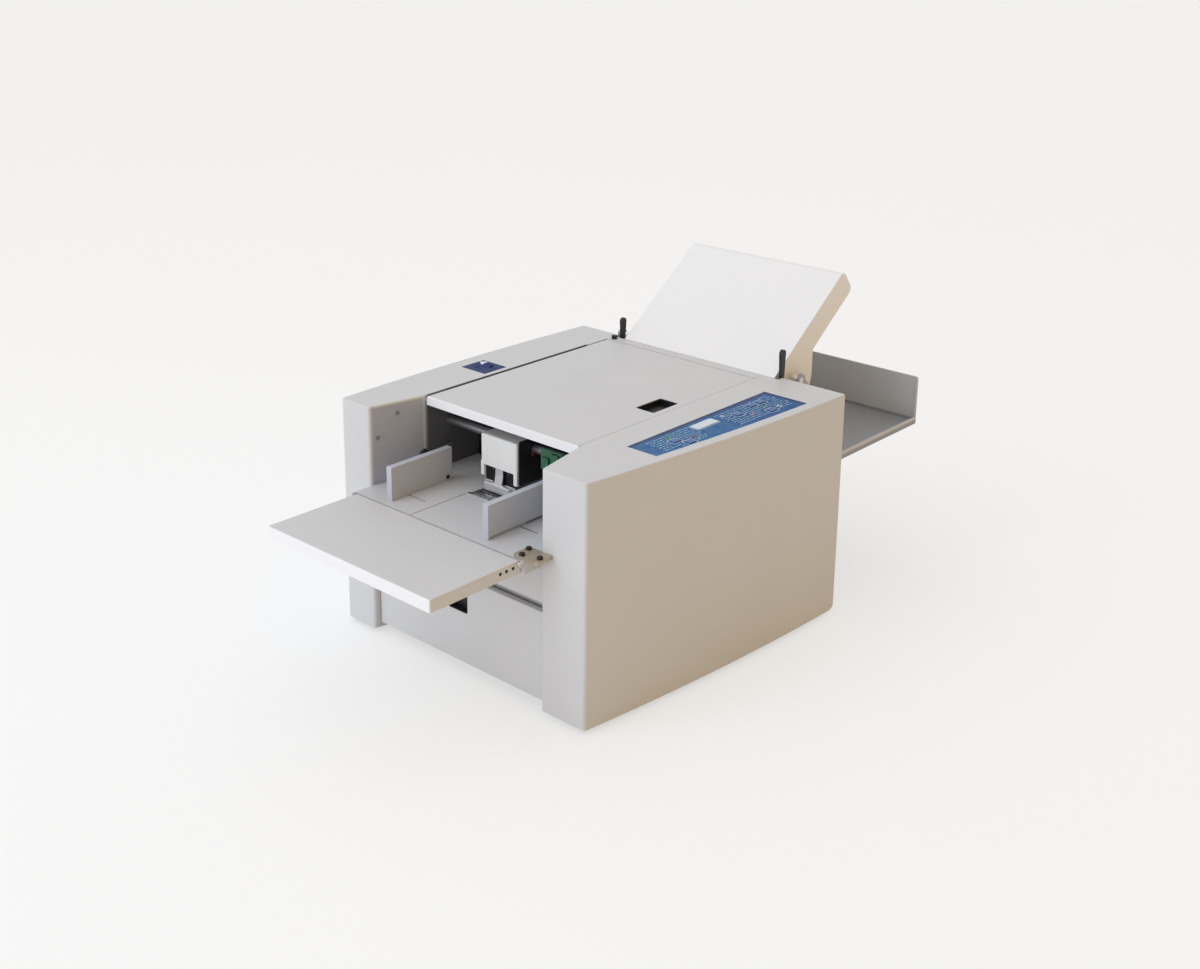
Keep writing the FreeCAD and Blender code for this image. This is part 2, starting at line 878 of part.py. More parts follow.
def gear_outline(teeth, module, phase):
    """Involute teeth as short straight runs, with a tooth centred at the phase angle."""
    pitch_r = module * teeth / 2
    base_r = pitch_r * math.cos(math.radians(gear_pressure))
    tip_r = pitch_r + module * gear_addendum_share
    root_r = pitch_r - module * gear_dedendum_share
    half_tooth = (math.pi * module / 2 - gear_backlash) / (2 * pitch_r)

    def involute(angle):
        return math.tan(angle) - angle

    rise = involute(math.radians(gear_pressure))

    def half_angle(radius):
        return half_tooth + rise - involute(math.acos(min(1, base_r / max(radius, base_r))))

    radii = [root_r, max(base_r, root_r), (max(base_r, root_r) + tip_r) / 2, tip_r]
    points = []
    for i in range(teeth):
        centre = phase + 2 * math.pi * i / teeth
        flank = [(r, half_angle(r)) for r in radii]
        for r, a in flank:
            points.append((r * math.cos(centre - a), r * math.sin(centre - a)))
        for r, a in reversed(flank):
            points.append((r * math.cos(centre + a), r * math.sin(centre + a)))
    return points


def spur_gear(teeth, module, phase, axis, low, high, centre, bore):
    points = [(centre[0] + a, centre[1] + b) for a, b in gear_outline(teeth, module, phase)]
    body = prism(axis, low, high, points)
    middle = {"x": (low - overrun, *centre), "z": (*centre, low - overrun)}[axis]
    far = {"x": (high + overrun, *centre), "z": (*centre, high + overrun)}[axis]
    return body.cut(rod(bore, middle, far)) if bore else body


def train_phases():
    """Each gear's tooth angle, so that its teeth sit in the gaps of the one before."""
    step = 2 * math.pi / gear_teeth
    phases = [0.0]
    for near, far in zip(rollers, rollers[1:]):
        toward = math.atan2(far[1] - near[1], far[0] - near[0])
        offset = (toward - phases[-1]) % step
        phases.append(toward + math.pi - (step / 2 - offset))
    return phases


def fold_roller(index):
    y, z = rollers[index]
    end = gear_start + gear_width + shaft_stub
    if index == len(rollers) - 1:
        end = pulley_start + pulley_width + shaft_stub
    core = rod(roller_radius, (roller_left, y, z), (roller_right, y, z))
    core = fillet(core, roller_nip_gap * 3, lambda e, m: True)
    shaft = rod(roller_shaft_radius, (left_frame_x - shaft_stub, y, z), (end, y, z))
    return join([core, shaft])


def roller_gear(index):
    phase = train_phases()[index]
    return spur_gear(gear_teeth, gear_module, phase, "x", gear_start, gear_start + gear_width,
                     rollers[index], roller_shaft_radius)


def driven_roller(index):
    """A roller with what is pressed on its shaft end."""
    pieces = [fold_roller(index), roller_gear(index)]
    if index == len(rollers) - 1:
        pieces.append(roller_pulley())
    return gather(*pieces)


def roller_bushes():
    pieces = []
    for y, z in rollers:
        for inner, sign in ((left_frame_x + steel_plate, -1), (right_frame_x, 1)):
            outer = inner + sign * steel_plate
            bore = roller_shaft_radius + shaft_gap
            bush = tube(bush_radius - bush_flange, bore, (inner, y, z), (outer, y, z))
            lip = tube(bush_radius, bore, (inner, y, z), (inner - sign * bush_flange, y, z))
            pieces.append(join([bush, lip]))
    return Part.makeCompound(pieces)


def pulley(radius, y, z, bore):
    end = pulley_start + pulley_width
    outer = rod(radius, (pulley_start, y, z), (end, y, z))
    for x in (pulley_start, end - pulley_rim):
        outer = outer.fuse(rod(radius + pulley_rim_height, (x, y, z), (x + pulley_rim, y, z)))
    outer = outer.removeSplitter()
    return outer.cut(rod(bore, (pulley_start - overrun, y, z), (end + overrun, y, z)))


def roller_pulley():
    return pulley(roller_pulley_radius, *rollers[-1], roller_shaft_radius)


def motor_pulley():
    return join([pulley(motor_pulley_radius, motor_y, motor_z, motor_shaft_radius),
                 rod(motor_shaft_radius, (right_frame_x - motor_foot, motor_y, motor_z),
                     (pulley_start + pulley_width + shaft_stub, motor_y, motor_z))])


def drive_belt():
    """An open belt: two arcs round the pulleys joined by their outer tangents."""
    def loop(extra):
        upper = rollers[-1]
        lower = (motor_y, motor_z)
        big = roller_pulley_radius + belt_gap + extra
        small = motor_pulley_radius + belt_gap + extra
        toward = math.atan2(lower[1] - upper[1], lower[0] - upper[0])
        swing = math.acos((big - small) / math.dist(upper, lower))

        def at(centre, radius, angle):
            return (centre[0] + radius * math.cos(angle), centre[1] + radius * math.sin(angle))

        low, high = toward - swing, toward + swing
        return [at(lower, small, low), (at(lower, small, toward), at(lower, small, high)),
                at(upper, big, high), (at(upper, big, toward + math.pi), at(upper, big, low))]

    low = pulley_start + pulley_rim + running_gap
    high = pulley_start + pulley_width - pulley_rim - running_gap
    inside = prism("x", low - overrun, high + overrun, loop(0))
    return prism("x", low, high, loop(belt_thickness)).cut(inside)


def drive_motor():
    face = right_frame_x
    body = rod(motor_radius, (face - motor_length, motor_y, motor_z), (face - motor_foot, motor_y, motor_z))
    for x in spread(face - motor_length, face - motor_foot, motor_fin_count):
        body = body.cut(tube(motor_radius + overrun, motor_radius - bush_flange, (x, motor_y, motor_z),
                             (x + motor_foot, motor_y, motor_z)))
    boss = rod(motor_boss_radius, (face - motor_foot, motor_y, motor_z), (face, motor_y, motor_z))
    body = join([body, boss])
    return body.cut(rod(motor_shaft_radius + shaft_gap, (face - motor_foot * 2, motor_y, motor_z),
                        (face + overrun, motor_y, motor_z)))


def frame_plate(left):
    x0 = left_frame_x if left else right_frame_x
    x1 = x0 + steel_plate
    pivot = (upper_pivot_y, upper_pivot_z)
    path = [(frame_front, foot_height + sheet), (frame_rear, foot_height + sheet), (frame_rear, ear_low),
            (ear_rear, ear_low), (ear_rear, ear_shoulder), (pivot[0] + ear_radius, pivot[1]),
            ((pivot[0], pivot[1] + ear_radius), (pivot[0] - ear_radius, pivot[1])),
            (frame_rear, frame_top), (frame_front, frame_top)]
    body = prism("x", x0, x1, path)
    inward = (x1, x1 + flange_height) if left else (x0 - flange_height, x0)
    floor = foot_height + sheet
    body = body.fuse(box(*inward, base_step, frame_rear, floor, floor + steel_plate / 2))

    def hole(shape, radius, y, z):
        return shape.cut(rod(radius, (x0 - overrun, y, z), (x1 + overrun, y, z)))

    for y, z in rollers:
        body = hole(body, bush_radius - bush_flange, y, z)
    body = hole(body, pivot_radius + shaft_gap, *pivot)
    body = hole(body, lever_pin_radius, lever_y, lever_z)
    if not left:
        body = hole(body, motor_shaft_radius + running_gap, motor_y, motor_z)
    if left:
        for y in lid_knuckles:
            body = hole(body, screw_radius, y + knuckle_width / 2, lid_low - knuckle_drop * 2 / 3)
    return body.removeSplitter()


def frame_tie_bars():
    pieces = []
    for y, z in tie_places:
        pieces.append(rod(tie_radius, (left_frame_x + steel_plate, y, z), (right_frame_x, y, z)))
    return Part.makeCompound(pieces)


def base_plate():
    """Narrow between the side covers' inner walls and full width behind them."""
    left = left_frame_x
    right = right_frame_x + steel_plate
    tongue = inner_throat - table_gap
    low = foot_height
    high = low + sheet
    body = join([box(left, right, base_step, frame_rear, low, high),
                 box(-tongue, tongue, frame_front, base_step, low, high)])
    edge = flange_height + seat_gap + steel_plate
    for x0, x1, y in ((-tongue, tongue, frame_front), (left + edge, right - edge, frame_rear - sheet)):
        body = body.fuse(box(x0, x1, y, y + sheet, low, low + flange_height))
    return body.removeSplitter()


def rubber_feet():
    pieces = []
    reach = inner_throat - foot_inset
    for x in (-reach, reach):
        for y in (frame_front + foot_inset, frame_rear - foot_inset):
            pieces.append(Part.makeCone(foot_toe_radius, foot_radius, foot_height, V(x, y, 0)))
    return Part.makeCompound(pieces)


def table_plan(front, rear, gap):
    """Half outline of the table, following the tapering walls."""
    return [(wall_x(front) - gap, front), (wall_x(flare_length) - gap, flare_length),
            (inner_throat - gap, rear)]


def feed_table():
    low = table_top - table_sheet
    half = lip_width / 2
    right = table_plan(0, table_rear, table_gap)
    outline = [(half, table_front), (half, 0)] + right
    path = outline + [(-x, y) for x, y in reversed(outline)]
    body = prism("z", low, table_top, path)
    lip = box(-half, half, table_front, table_front + table_sheet, table_top - lip_drop, table_top)
    rear = box(-inner_throat + table_gap, inner_throat - table_gap, table_rear - table_sheet, table_rear,
               table_top - lip_drop, table_top)
    body = join([body, lip, rear])
    for side in (-1, 1):
        wing = sorted((side * half, side * (half - table_sheet)))
        body = body.fuse(box(wing[0], wing[1], table_front, -seat_gap, table_top - lip_drop, table_top))
    window = drum_window / 2
    body = body.cut(box(drum_left - drum_end_gap, drum_left + drum_length + drum_end_gap,
                        drum_y - window, drum_y + window, low - overrun, table_top + overrun))
    body = body.cut(box(groove_x - groove_width / 2, groove_x + groove_width / 2, table_front - overrun,
                        groove_rear, table_top - groove_depth, table_top + overrun))
    for side in (-1, 1):
        near, far = guide_reach(side)
        middle = slot_line(side)
        body = body.cut(rounded("z", low - overrun, table_top + overrun, near, far, middle - slot_width / 2,
                                middle + slot_width / 2, slot_width / 2 - running_gap))
    post = rod(pinion_post_radius, (guide_centre, slot_y, pinion_top - pinion_width - overrun),
               (guide_centre, slot_y, low))
    return body.fuse(post).removeSplitter()


def guide_face(side):
    return guide_centre + side * guide_spacing / 2


def slot_line(side):
    """The slot runs straight above the rack of the guide that travels in it."""
    root = pinion_radius + gear_gap + rack_module * gear_dedendum_share
    return slot_y + side * (root + rack_back / 2)


def guide_reach(side):
    """Ends of the slot in which a guide's neck travels."""
    face = guide_face(side)
    near = face - side * (guide_in - guide_neck + slot_width / 2)
    far = face + side * (guide_out + guide_neck * 2 + slot_width / 2)
    return tuple(sorted((near, far)))


def side_guide(side):
    face = guide_face(side)
    back = face + side * guide_sheet
    upright = sorted((face, back))
    bottom = table_top + running_gap
    top = table_top + guide_height
    body = box(upright[0], upright[1], guide_front, guide_rear, bottom, top)
    flange = sorted((face, face + side * guide_flange))
    body = body.fuse(box(flange[0], flange[1], guide_front, guide_front + guide_sheet, bottom, top))
    outer = sorted((face + side * (guide_flange - guide_sheet), face + side * guide_flange))
    body = body.fuse(box(outer[0], outer[1], guide_front, guide_rear, bottom + guide_sheet * 2, top))
    body = body.fuse(box(flange[0], flange[1], guide_front, guide_rear, top - guide_sheet, top))
    nose = guide_nose
    cutter = box(flange[0] - overrun, flange[1] + overrun, guide_front - overrun, guide_front + nose,
                 top - nose, top + overrun)
    rounding = rod(nose, (flange[0] - overrun, guide_front + nose, top - nose),
                   (flange[1] + overrun, guide_front + nose, top - nose))
    body = body.cut(cutter.cut(rounding))
    foot = sorted((face, face + side * guide_foot))
    body = body.fuse(box(foot[0], foot[1], guide_front, guide_foot_rear, bottom, bottom + guide_sheet))
    neck = sorted((face + side * guide_neck, face + side * guide_neck * 2))
    depth = slot_width / 2 - running_gap
    middle = slot_line(side)
    low = pinion_top - rack_thickness
    body = body.fuse(box(neck[0], neck[1], middle - depth, middle + depth, low, bottom))
    return body.fuse(rack(side)).removeSplitter()


def rack(side):
    """A toothed bar under the table; the two bars lie on opposite sides of the pinion."""
    face = guide_face(side)
    pitch_line = slot_y + side * (pinion_radius + gear_gap)
    root = pitch_line + side * rack_module * gear_dedendum_share
    tip = pitch_line - side * rack_module * gear_addendum_share
    pitch = math.pi * rack_module
    outer = face + side * guide_neck * 2
    inner = outer - side * rack_length
    high = pinion_top
    low = high - rack_thickness
    across = sorted((root, root + side * rack_back))
    along = sorted((inner, outer))
    slope = math.tan(math.radians(gear_pressure))
    half = (pitch - gear_backlash) / 4
    half_tip = half - slope * abs(tip - pitch_line)
    half_root = half + slope * abs(root - pitch_line)
    first = math.ceil((along[0] + half_root - guide_centre) / pitch - 0.5)
    last = math.floor((along[1] - half_root - guide_centre) / pitch - 0.5)
    points = [(along[0], root), (along[0], across[1] if side > 0 else across[0])]
    points += [(along[1], points[-1][1]), (along[1], root)]
    for i in reversed(range(first, last + 1)):
        x = guide_centre + (i + 0.5) * pitch
        points += [(x + half_root, root), (x + half_tip, tip), (x - half_tip, tip), (x - half_root, root)]
    return prism("z", low, high, points)


def guide_pinion():
    low = pinion_top - rack_thickness
    body = spur_gear(pinion_teeth, rack_module, math.pi / 2, "z", low, pinion_top, (guide_centre, slot_y),
                     pinion_post_radius + shaft_gap)
    washer = tube(pinion_post_radius * 2, pinion_post_radius + shaft_gap,
                  (guide_centre, slot_y, pinion_top - pinion_width), (guide_centre, slot_y, low))
    return join([body, washer])


def tilted(point, step, side):
    """A point some way along the fold plate's slope and some way under its top face."""
    return (point[0] + slope_cos * step + slope_sin * side, point[1] + slope_sin * step - slope_cos * side)


def feed_tray():
    half = tray_width / 2
    rear = table_front - tray_hinge_gap
    low = table_top - tray_thickness
    body = rounded("z", low, table_top, -half, half, tray_front, rear, tray_corner)
    body = body.fuse(box(-half, half, rear - tray_corner * 2, rear, low, table_top)).removeSplitter()
    body = fillet(body, tray_edge_radius,
                  lambda e, m: abs(m.z - table_top) < running_gap and m.y < rear - overrun)
    body = body.cut(rounded("z", low - overrun, table_top - tray_skin, -half + tray_skin, half - tray_skin,
                            tray_front + tray_skin, rear - tray_hinge_round * 2, tray_corner - tray_skin))
    middle = table_top - tray_thickness / 2
    for x in spread(-half, half, tray_rib_count):
        body = body.fuse(box(x - tray_skin / 2, x + tray_skin / 2, tray_front + tray_skin,
                             rear - tray_hinge_round * 2, middle, table_top - tray_skin))
    ends = (-half - overrun, half + overrun)
    corner = box(*ends, tray_hinge_y, rear + overrun, tray_hinge_z, table_top + overrun)
    body = body.cut(corner.cut(rod(tray_hinge_round, (ends[0], tray_hinge_y, tray_hinge_z),
                                   (ends[1], tray_hinge_y, tray_hinge_z))))
    reach = lip_width / 2
    for side in (-1, 1):
        body = body.fuse(rod(tray_pin_radius, (side * (half - tray_skin), tray_hinge_y, tray_hinge_z),
                             (side * reach, tray_hinge_y, tray_hinge_z)))
    return body.removeSplitter()


def table_with_lugs():
    body = feed_table()
    half = lip_width / 2
    for side in (-1, 1):
        lug = sorted((side * half, side * (half - table_sheet)))
        centre = (tray_hinge_y, tray_hinge_z)
        plate = box(lug[0], lug[1], tray_hinge_y, table_front + table_sheet, tray_hinge_z - tray_hinge_round,
                    table_top)
        eye = rod(tray_hinge_round, (lug[0], *centre), (lug[1], *centre))
        body = body.fuse(plate).fuse(eye)
        body = body.cut(rod(tray_pin_radius + shaft_gap, (lug[0] - overrun / 2, *centre),
                            (lug[1] + overrun / 2, *centre)))
    head = (guide_centre, slot_y)
    body = body.fuse(rod(pinion_post_radius + guide_sheet, (*head, pinion_top - pinion_width - overrun),
                         (*head, pinion_top - pinion_width - guide_sheet / 2)))
    under = table_top - table_sheet - overrun
    for x, y in bracket_screw_places():
        body = body.cut(rod(screw_radius, (x, y, under), (x, y, table_top + overrun)))
    return body.removeSplitter()


def bracket_span():
    right = lip_width / 2 + bracket_overhang
    return right - bracket_width, right, table_front, table_front + bracket_length


def bracket_screw_places():
    x0, x1, y0, y1 = bracket_span()
    return [(x0 + (x1 - x0) * a, y0 + (y1 - y0) * b) for a, b in bracket_screw_shares]


def tray_bracket():
    x0, x1, y0, y1 = bracket_span()
    high = table_top + bracket_height
    body = rounded("z", table_top, high, x0, x1, y0, y1, bracket_sheet)
    body = body.cut(box(x0 - overrun, x1 - bracket_sheet, y0 + bracket_sheet, y1 + overrun,
                        table_top - overrun, high - bracket_sheet))
    for x, y in bracket_screw_places():
        body = body.cut(rod(screw_radius, (x, y, table_top), (x, y, high + overrun)))
    return body


def bracket_screws():
    pieces = []
    high = table_top + bracket_height
    for x, y in bracket_screw_places():
        head = rod(screw_head_radius, (x, y, high), (x, y, high + screw_head_height))
        socket = prism("z", high + screw_head_height / 2, high + screw_head_height + overrun,
                       [(x + screw_radius * math.cos(math.radians(60 * i)),
                         y + screw_radius * math.sin(math.radians(60 * i))) for i in range(6)])
        shank = rod(screw_radius, (x, y, table_top - table_sheet), (x, y, high))
        pieces.append(join([head, shank]).cut(socket))
    return Part.makeCompound(pieces)


def front_apron():
    half = wall_x(apron_setback + ledge_depth + sheet) - table_gap
    front = apron_setback
    back = front + ledge_depth
    top = table_top - table_sheet
    return join([box(-half, half, front, front + sheet, apron_low, top),
                 box(-half, half, front, back + sheet, apron_low, apron_low + sheet),
                 box(-half, half, back, back + sheet, door_top - overrun, apron_low + sheet),
                 box(-half, -half + sheet, front, back + sheet, apron_low, top),
                 box(half - sheet, half, front, back + sheet, apron_low, top)])


door_half = wall_x(apron_setback + door_flange) - door_gap
door_axis = (apron_setback + door_hinge_depth, door_hinge_height)


def door_cup_block(gap, low_y, high_y):
    half = door_cup_width / 2 + gap
    return rounded("y", low_y, high_y, -half, half, door_cup_low - gap, door_cup_low + door_cup_height + gap,
                   cup_corner)


def lower_door():
    front = apron_setback
    back = front + door_flange
    body = box(-door_half, door_half, front, back, door_low, door_top)
    body = body.cut(box(-door_half + door_skin, door_half - door_skin, front + door_skin, back + overrun,
                        door_low + door_skin, door_top - door_skin))
    body = fillet(body, lid_edge_radius,
                  lambda e, m: abs(m.z - door_top) < running_gap and abs(m.y - front) < running_gap)
    for side in (-1, 1):
        inner = side * (door_half - door_pin_length)
        post = sorted((inner, side * door_half))
        body = body.fuse(box(post[0], post[1], front, back, door_low, door_hinge_height + door_lug / 2))
        body = body.fuse(rod(door_pin_radius, (inner, *door_axis),
                             (side * (inner_front + overrun), *door_axis)))
    body = body.cut(door_cup_block(0, front - overrun, back + overrun))
    return body.removeSplitter()


def door_cup():
    front = apron_setback + seat_gap
    body = door_cup_block(0, front, apron_setback + door_cup_depth)
    half = door_cup_width / 2 - cup_wall
    return body.cut(rounded("y", front - overrun, apron_setback + door_cup_depth - cup_wall, -half, half,
                            door_cup_low + cup_wall, door_cup_low + door_cup_height - cup_wall,
                            cup_corner - cup_wall))


bar_centre = (head_front + bar_depth, bar_height)


def separator_bar():
    return rod(bar_radius, (-inner_throat, *bar_centre), (inner_throat, *bar_centre))


def separator_housing():
    rear = head_front + head_depth
    body = box(head_left, head_right, head_front, rear, head_low, head_top)
    body = fillet(body, head_edge_radius, lambda e, m: m.z > head_low + overrun)
    body = body.cut(box(head_left + head_wall, head_right - head_wall, head_front + head_wall,
                        rear - head_wall, head_low - overrun, head_top - head_wall))
    leg = head_leg_width
    for x in (head_left, head_right - leg):
        for y in (head_front, rear - leg):
            body = body.fuse(box(x, x + leg, y, y + leg, head_leg_low, head_low + overrun))
    body = body.cut(rod(bar_radius, (head_left - overrun, *bar_centre), (head_right + overrun, *bar_centre)))
    return body.removeSplitter()


def separator_side_plate():
    rear = head_front + head_depth
    body = rounded("x", head_right, head_right + gate_plate, rear - head_cheek_depth, rear + head_wall,
                   head_leg_low, head_top + head_wall, head_edge_radius)
    bar = rod(bar_radius, (head_right - overrun, *bar_centre), (head_right + overrun, *bar_centre))
    return body.cut(bar)


def separator_gate():
    """A back plate, the lip over the drum and a bent finger between them."""
    left = head_left + head_leg_width
    right = head_right - head_leg_width
    inner = head_front + head_wall
    nose = head_front - gate_lip_depth
    lip_top = gate_lip_low + gate_lip_height
    body = join([box(left, right, inner, inner + gate_plate, gate_lip_low, head_low + head_leg_width),
                 box(gate_left, gate_right, nose, inner + gate_plate, gate_lip_low, lip_top)])
    body = fillet(body, gate_plate,
                  lambda e, m: abs(m.y - nose) < running_gap and abs(m.z - lip_top) < running_gap)
    for x in spread(left, right, gate_hole_count):
        z = head_low - gate_hole_drop
        body = body.cut(rod(gate_hole_radius, (x, inner - overrun, z), (x, inner + overrun, z)))
    middle = (left + right) / 2
    finger = prism("x", middle - gate_finger_width / 2, middle + gate_finger_width / 2,
                   [(inner, head_low), (inner - gate_plate, head_low),
                    (inner - gate_plate, gate_finger_bend), (nose + gate_plate, lip_top), (inner, lip_top)])
    return body.fuse(finger).removeSplitter()


drum_right = drum_left + drum_length


def suction_drum():
    centre = (drum_y, drum_z)
    body = rod(drum_radius, (drum_left, *centre), (drum_right, *centre))
    wall = drum_bracket_thickness
    body = body.cut(rod(drum_bore, (drum_left + wall, *centre), (drum_right - wall, *centre)))
    for x in spread(drum_left, drum_right, drum_groove_count):
        body = body.cut(tube(drum_radius + overrun, drum_radius - drum_groove_depth,
                             (x - drum_groove_width / 2, *centre), (x + drum_groove_width / 2, *centre)))
    for row in spread(drum_left, drum_right, drum_hole_rows):
        for i in range(drum_hole_count):
            turn = 2 * math.pi * i / drum_hole_count
            near, far = [(row, drum_y + reach * math.cos(turn), drum_z + reach * math.sin(turn))
                         for reach in (drum_bore / 2, drum_radius + overrun)]
            body = body.cut(rod(drum_hole_radius, near, far))
    left = drum_left - drum_end_gap - drum_bracket_thickness + seat_gap
    right = drum_right + drum_end_gap + drum_bracket_thickness * 3
    return join([body, rod(drum_shaft_radius, (left, *centre), (right, *centre))])


def drum_brackets():
    pieces = []
    half = drum_bracket_width / 2
    for side, face in ((-1, drum_left - drum_end_gap), (1, drum_right + drum_end_gap)):
        plate = sorted((face, face + side * drum_bracket_thickness))
        flange = sorted((face, face + side * drum_bracket_drop))
        low = drum_z - drum_bracket_drop
        top = table_top - table_sheet
        body = join([box(plate[0], plate[1], drum_y - half, drum_y + half, low, top),
                     box(flange[0], flange[1], drum_y - half, drum_y + half, top - table_sheet, top)])
        pieces.append(body.cut(rod(drum_shaft_radius + shaft_gap, (plate[0] - overrun / 2, drum_y, drum_z),
                                   (plate[1] + overrun / 2, drum_y, drum_z))))
    return Part.makeCompound(pieces)


def drum_motor():
    start = drum_right + drum_end_gap + drum_bracket_thickness
    centre = (drum_y, drum_z)
    end = start + drum_motor_length
    body = join([rod(drum_motor_radius, (start, *centre), (start + drum_motor_length / 3, *centre)),
                 rod(drum_motor_radius - bush_flange, (start, *centre), (end, *centre))])
    return body.cut(rod(drum_shaft_radius + shaft_gap, (start - overrun, *centre),
                        (start + drum_bracket_thickness * 2 + seat_gap, *centre)))


def throat_panel():
    half = inner_throat + shell_wall
    front = inner_wall_length
    low = table_top + throat_slot
    body = box(-half, half, front, front + throat_panel_sheet, low, lid_low - throat_top_gap)
    half = inner_throat - lid_skin
    return join([body, box(-half, half, front, front + throat_slot, low, low + throat_panel_sheet)])


def circuit_board():
    """A small board that two posts hold in front of the separator's bar."""
    right = board_left + board_width
    high = board_low + board_height
    back = board_front + board_thickness
    body = box(board_left, right, board_front, back, board_low, high)
    for x0, z0, x1, z1 in board_chip_shares:
        body = body.fuse(box(board_left + board_width * x0, board_left + board_width * x1,
                             board_front - board_chip_height, board_front,
                             board_low + board_height * z0, board_low + board_height * z1))
    for x in spread(board_left, right, 2):
        post = rod(board_post_radius, (x, back, bar_height), (x, bar_centre[0] - bar_radius, bar_height))
        body = body.fuse(post)
    return body.removeSplitter()


def transport_guide():
    """Two sheets that carry the paper back from the table and up into the first nip."""
    start = table_rear + table_gap
    slope = slope_sin / slope_cos
    rise = nip_z - table_top - chute_height / 2
    bend = nip_y - rise / slope
    end = nip_y - chute_end_gap * slope_cos
    climb = (end - bend) * slope
    sheets = []
    for level, skin in ((table_top - sheet, sheet), (table_top + chute_height, sheet)):
        first = start if level < table_top else inner_wall_length + throat_slot + table_gap
        path = [(first, level), (bend, level), (end, level + climb), (end, level + climb + skin),
                (bend, level + skin), (first, level + skin)]
        sheets.append(prism("x", -chute_half, chute_half, path))
    for inner, outer in ((left_frame_x + steel_plate, -chute_half), (chute_half, right_frame_x)):
        for y in spread(start, bend, 2):
            rail = box(inner, outer, y - chute_tab_length / 2, y + chute_tab_length / 2, table_top - sheet,
                       table_top + chute_height + sheet)
            sheets.append(rail)
    return join(sheets)


def upper_profile(inset):
    foot = (upper_plate_foot_y, body_top)
    rear = upper_pivot_y + upper_foot_depth / 2 - inset
    radius = upper_foot_depth / 2 - inset
    slope = slope_sin / slope_cos
    front = upper_plate_foot_y + inset
    top = foot[1] + inset * slope - inset / slope_cos
    under = foot[1] + (rear - foot[0]) * slope - (upper_plate_thickness - inset) / slope_cos
    return [(front, upper_pivot_z), (front, top), tilted(foot, upper_plate_length - inset, inset),
            tilted(foot, upper_plate_length - inset, upper_plate_thickness - inset), (rear, under),
            (rear, upper_pivot_z), ((upper_pivot_y, upper_pivot_z - radius), (front, upper_pivot_z))]


def slope_block(x0, x1, start, end, near, far):
    """A block along the fold plate's slope, between two depths under its top face."""
    foot = (upper_plate_foot_y, body_top)
    return prism("x", x0, x1, [tilted(foot, start, near), tilted(foot, end, near),
                               tilted(foot, end, far), tilted(foot, start, far)])


slot_depth = (nip_y - upper_plate_foot_y) * slope_sin + (body_top - nip_z) * slope_cos
slot_near = slot_depth - upper_slot / 2
slot_far = slot_depth + upper_slot / 2


def upper_fold_plate():
    x0 = upper_plate_left
    x1 = upper_plate_right
    body = prism("x", x0, x1, upper_profile(0))
    nose = tilted((upper_plate_foot_y, body_top), upper_plate_length, 0)
    tail = tilted((upper_plate_foot_y, body_top), upper_plate_length, upper_plate_thickness)

    def nose_edge(edge, middle):
        return abs(middle.x - (x0 + x1) / 2) < running_gap and min(
            math.dist((middle.y, middle.z), nose), math.dist((middle.y, middle.z), tail)) < running_gap

    body = fillet(body, upper_nose_radius, nose_edge)
    hollow = prism("x", x0 + upper_wall, x1 - upper_wall, upper_profile(upper_wall))
    stop = upper_plate_length - upper_guide_gap
    for near, far in ((slot_near - upper_wall, slot_near), (slot_far, slot_far + upper_wall)):
        hollow = hollow.cut(slope_block(x0, x1, -upper_foot_depth, stop, near, far))
    mouth = slope_block(x0 + upper_wall, x1 - upper_wall, -upper_foot_depth, upper_foot_depth / 2,
                        slot_near, slot_far)
    body = body.cut(hollow).cut(mouth)
    pivot = (upper_pivot_y, upper_pivot_z)
    pins = [rod(pivot_radius, (left_frame_x, *pivot), (x0 + upper_wall, *pivot)),
            rod(pivot_radius, (x1 - upper_wall, *pivot), (right_frame_x + steel_plate, *pivot))]
    for pin in pins:
        body = body.cut(pin)
    return gather(body, *pins)


def upper_paper_stop():
    gap = upper_wall + running_gap
    body = slope_block(upper_plate_left + gap, upper_plate_right - gap, upper_stop_start,
                       upper_stop_start + upper_stop_length, slot_near + running_gap, slot_far - running_gap)
    return body


def lever(x0, x1, length):
    centre = (lever_y, lever_z)
    top = lever_z + length - lever_head_radius
    hub = rod(lever_hub_radius, (x0, *centre), (x1, *centre))
    head = rod(lever_head_radius, (x0, lever_y, top), (x1, lever_y, top))
    stem = prism("x", x0, x1, [(lever_y - lever_hub_radius, lever_z), (lever_y + lever_hub_radius, lever_z),
                               (lever_y + lever_stem, lever_z + lever_hub_radius * 2),
                               (lever_y + lever_head_radius, top), (lever_y - lever_head_radius, top),
                               (lever_y - lever_stem, lever_z + lever_hub_radius * 2)])
    body = join([hub, stem, head])
    return body.cut(rod(lever_pin_radius + shaft_gap, (x0 - overrun, *centre), (x1 + overrun, *centre)))


def left_lock_lever():
    x1 = upper_plate_left - left_lever_gap
    return lever(x1 - lever_thickness, x1, lever_length)


def right_lock_lever():
    x0 = upper_plate_right + right_lever_gap
    return lever(x0, x0 + lever_thickness, right_lever_length)


def lever_pins():
    pieces = []
    for start, end in ((left_frame_x, upper_plate_left - left_lever_gap / 2),
                       (upper_plate_right + right_lever_gap / 2, right_frame_x + steel_plate)):
        pieces.append(rod(lever_pin_radius, (start, lever_y, lever_z), (end, lever_y, lever_z)))
    return Part.makeCompound(pieces)


second_nip = tuple((a + b) / 2 for a, b in zip(rollers[1], rollers[2]))


def lower_block(x0, x1, start, end, half):
    """A block down the second fold direction, either side of the sheet's path."""
    def at(step, side):
        y = second_nip[0] - slope_sin * step + slope_cos * side
        z = second_nip[1] - slope_cos * step - slope_sin * side
        return y, z

    return prism("x", x0, x1, [at(start, -half), at(end, -half), at(end, half), at(start, half)])


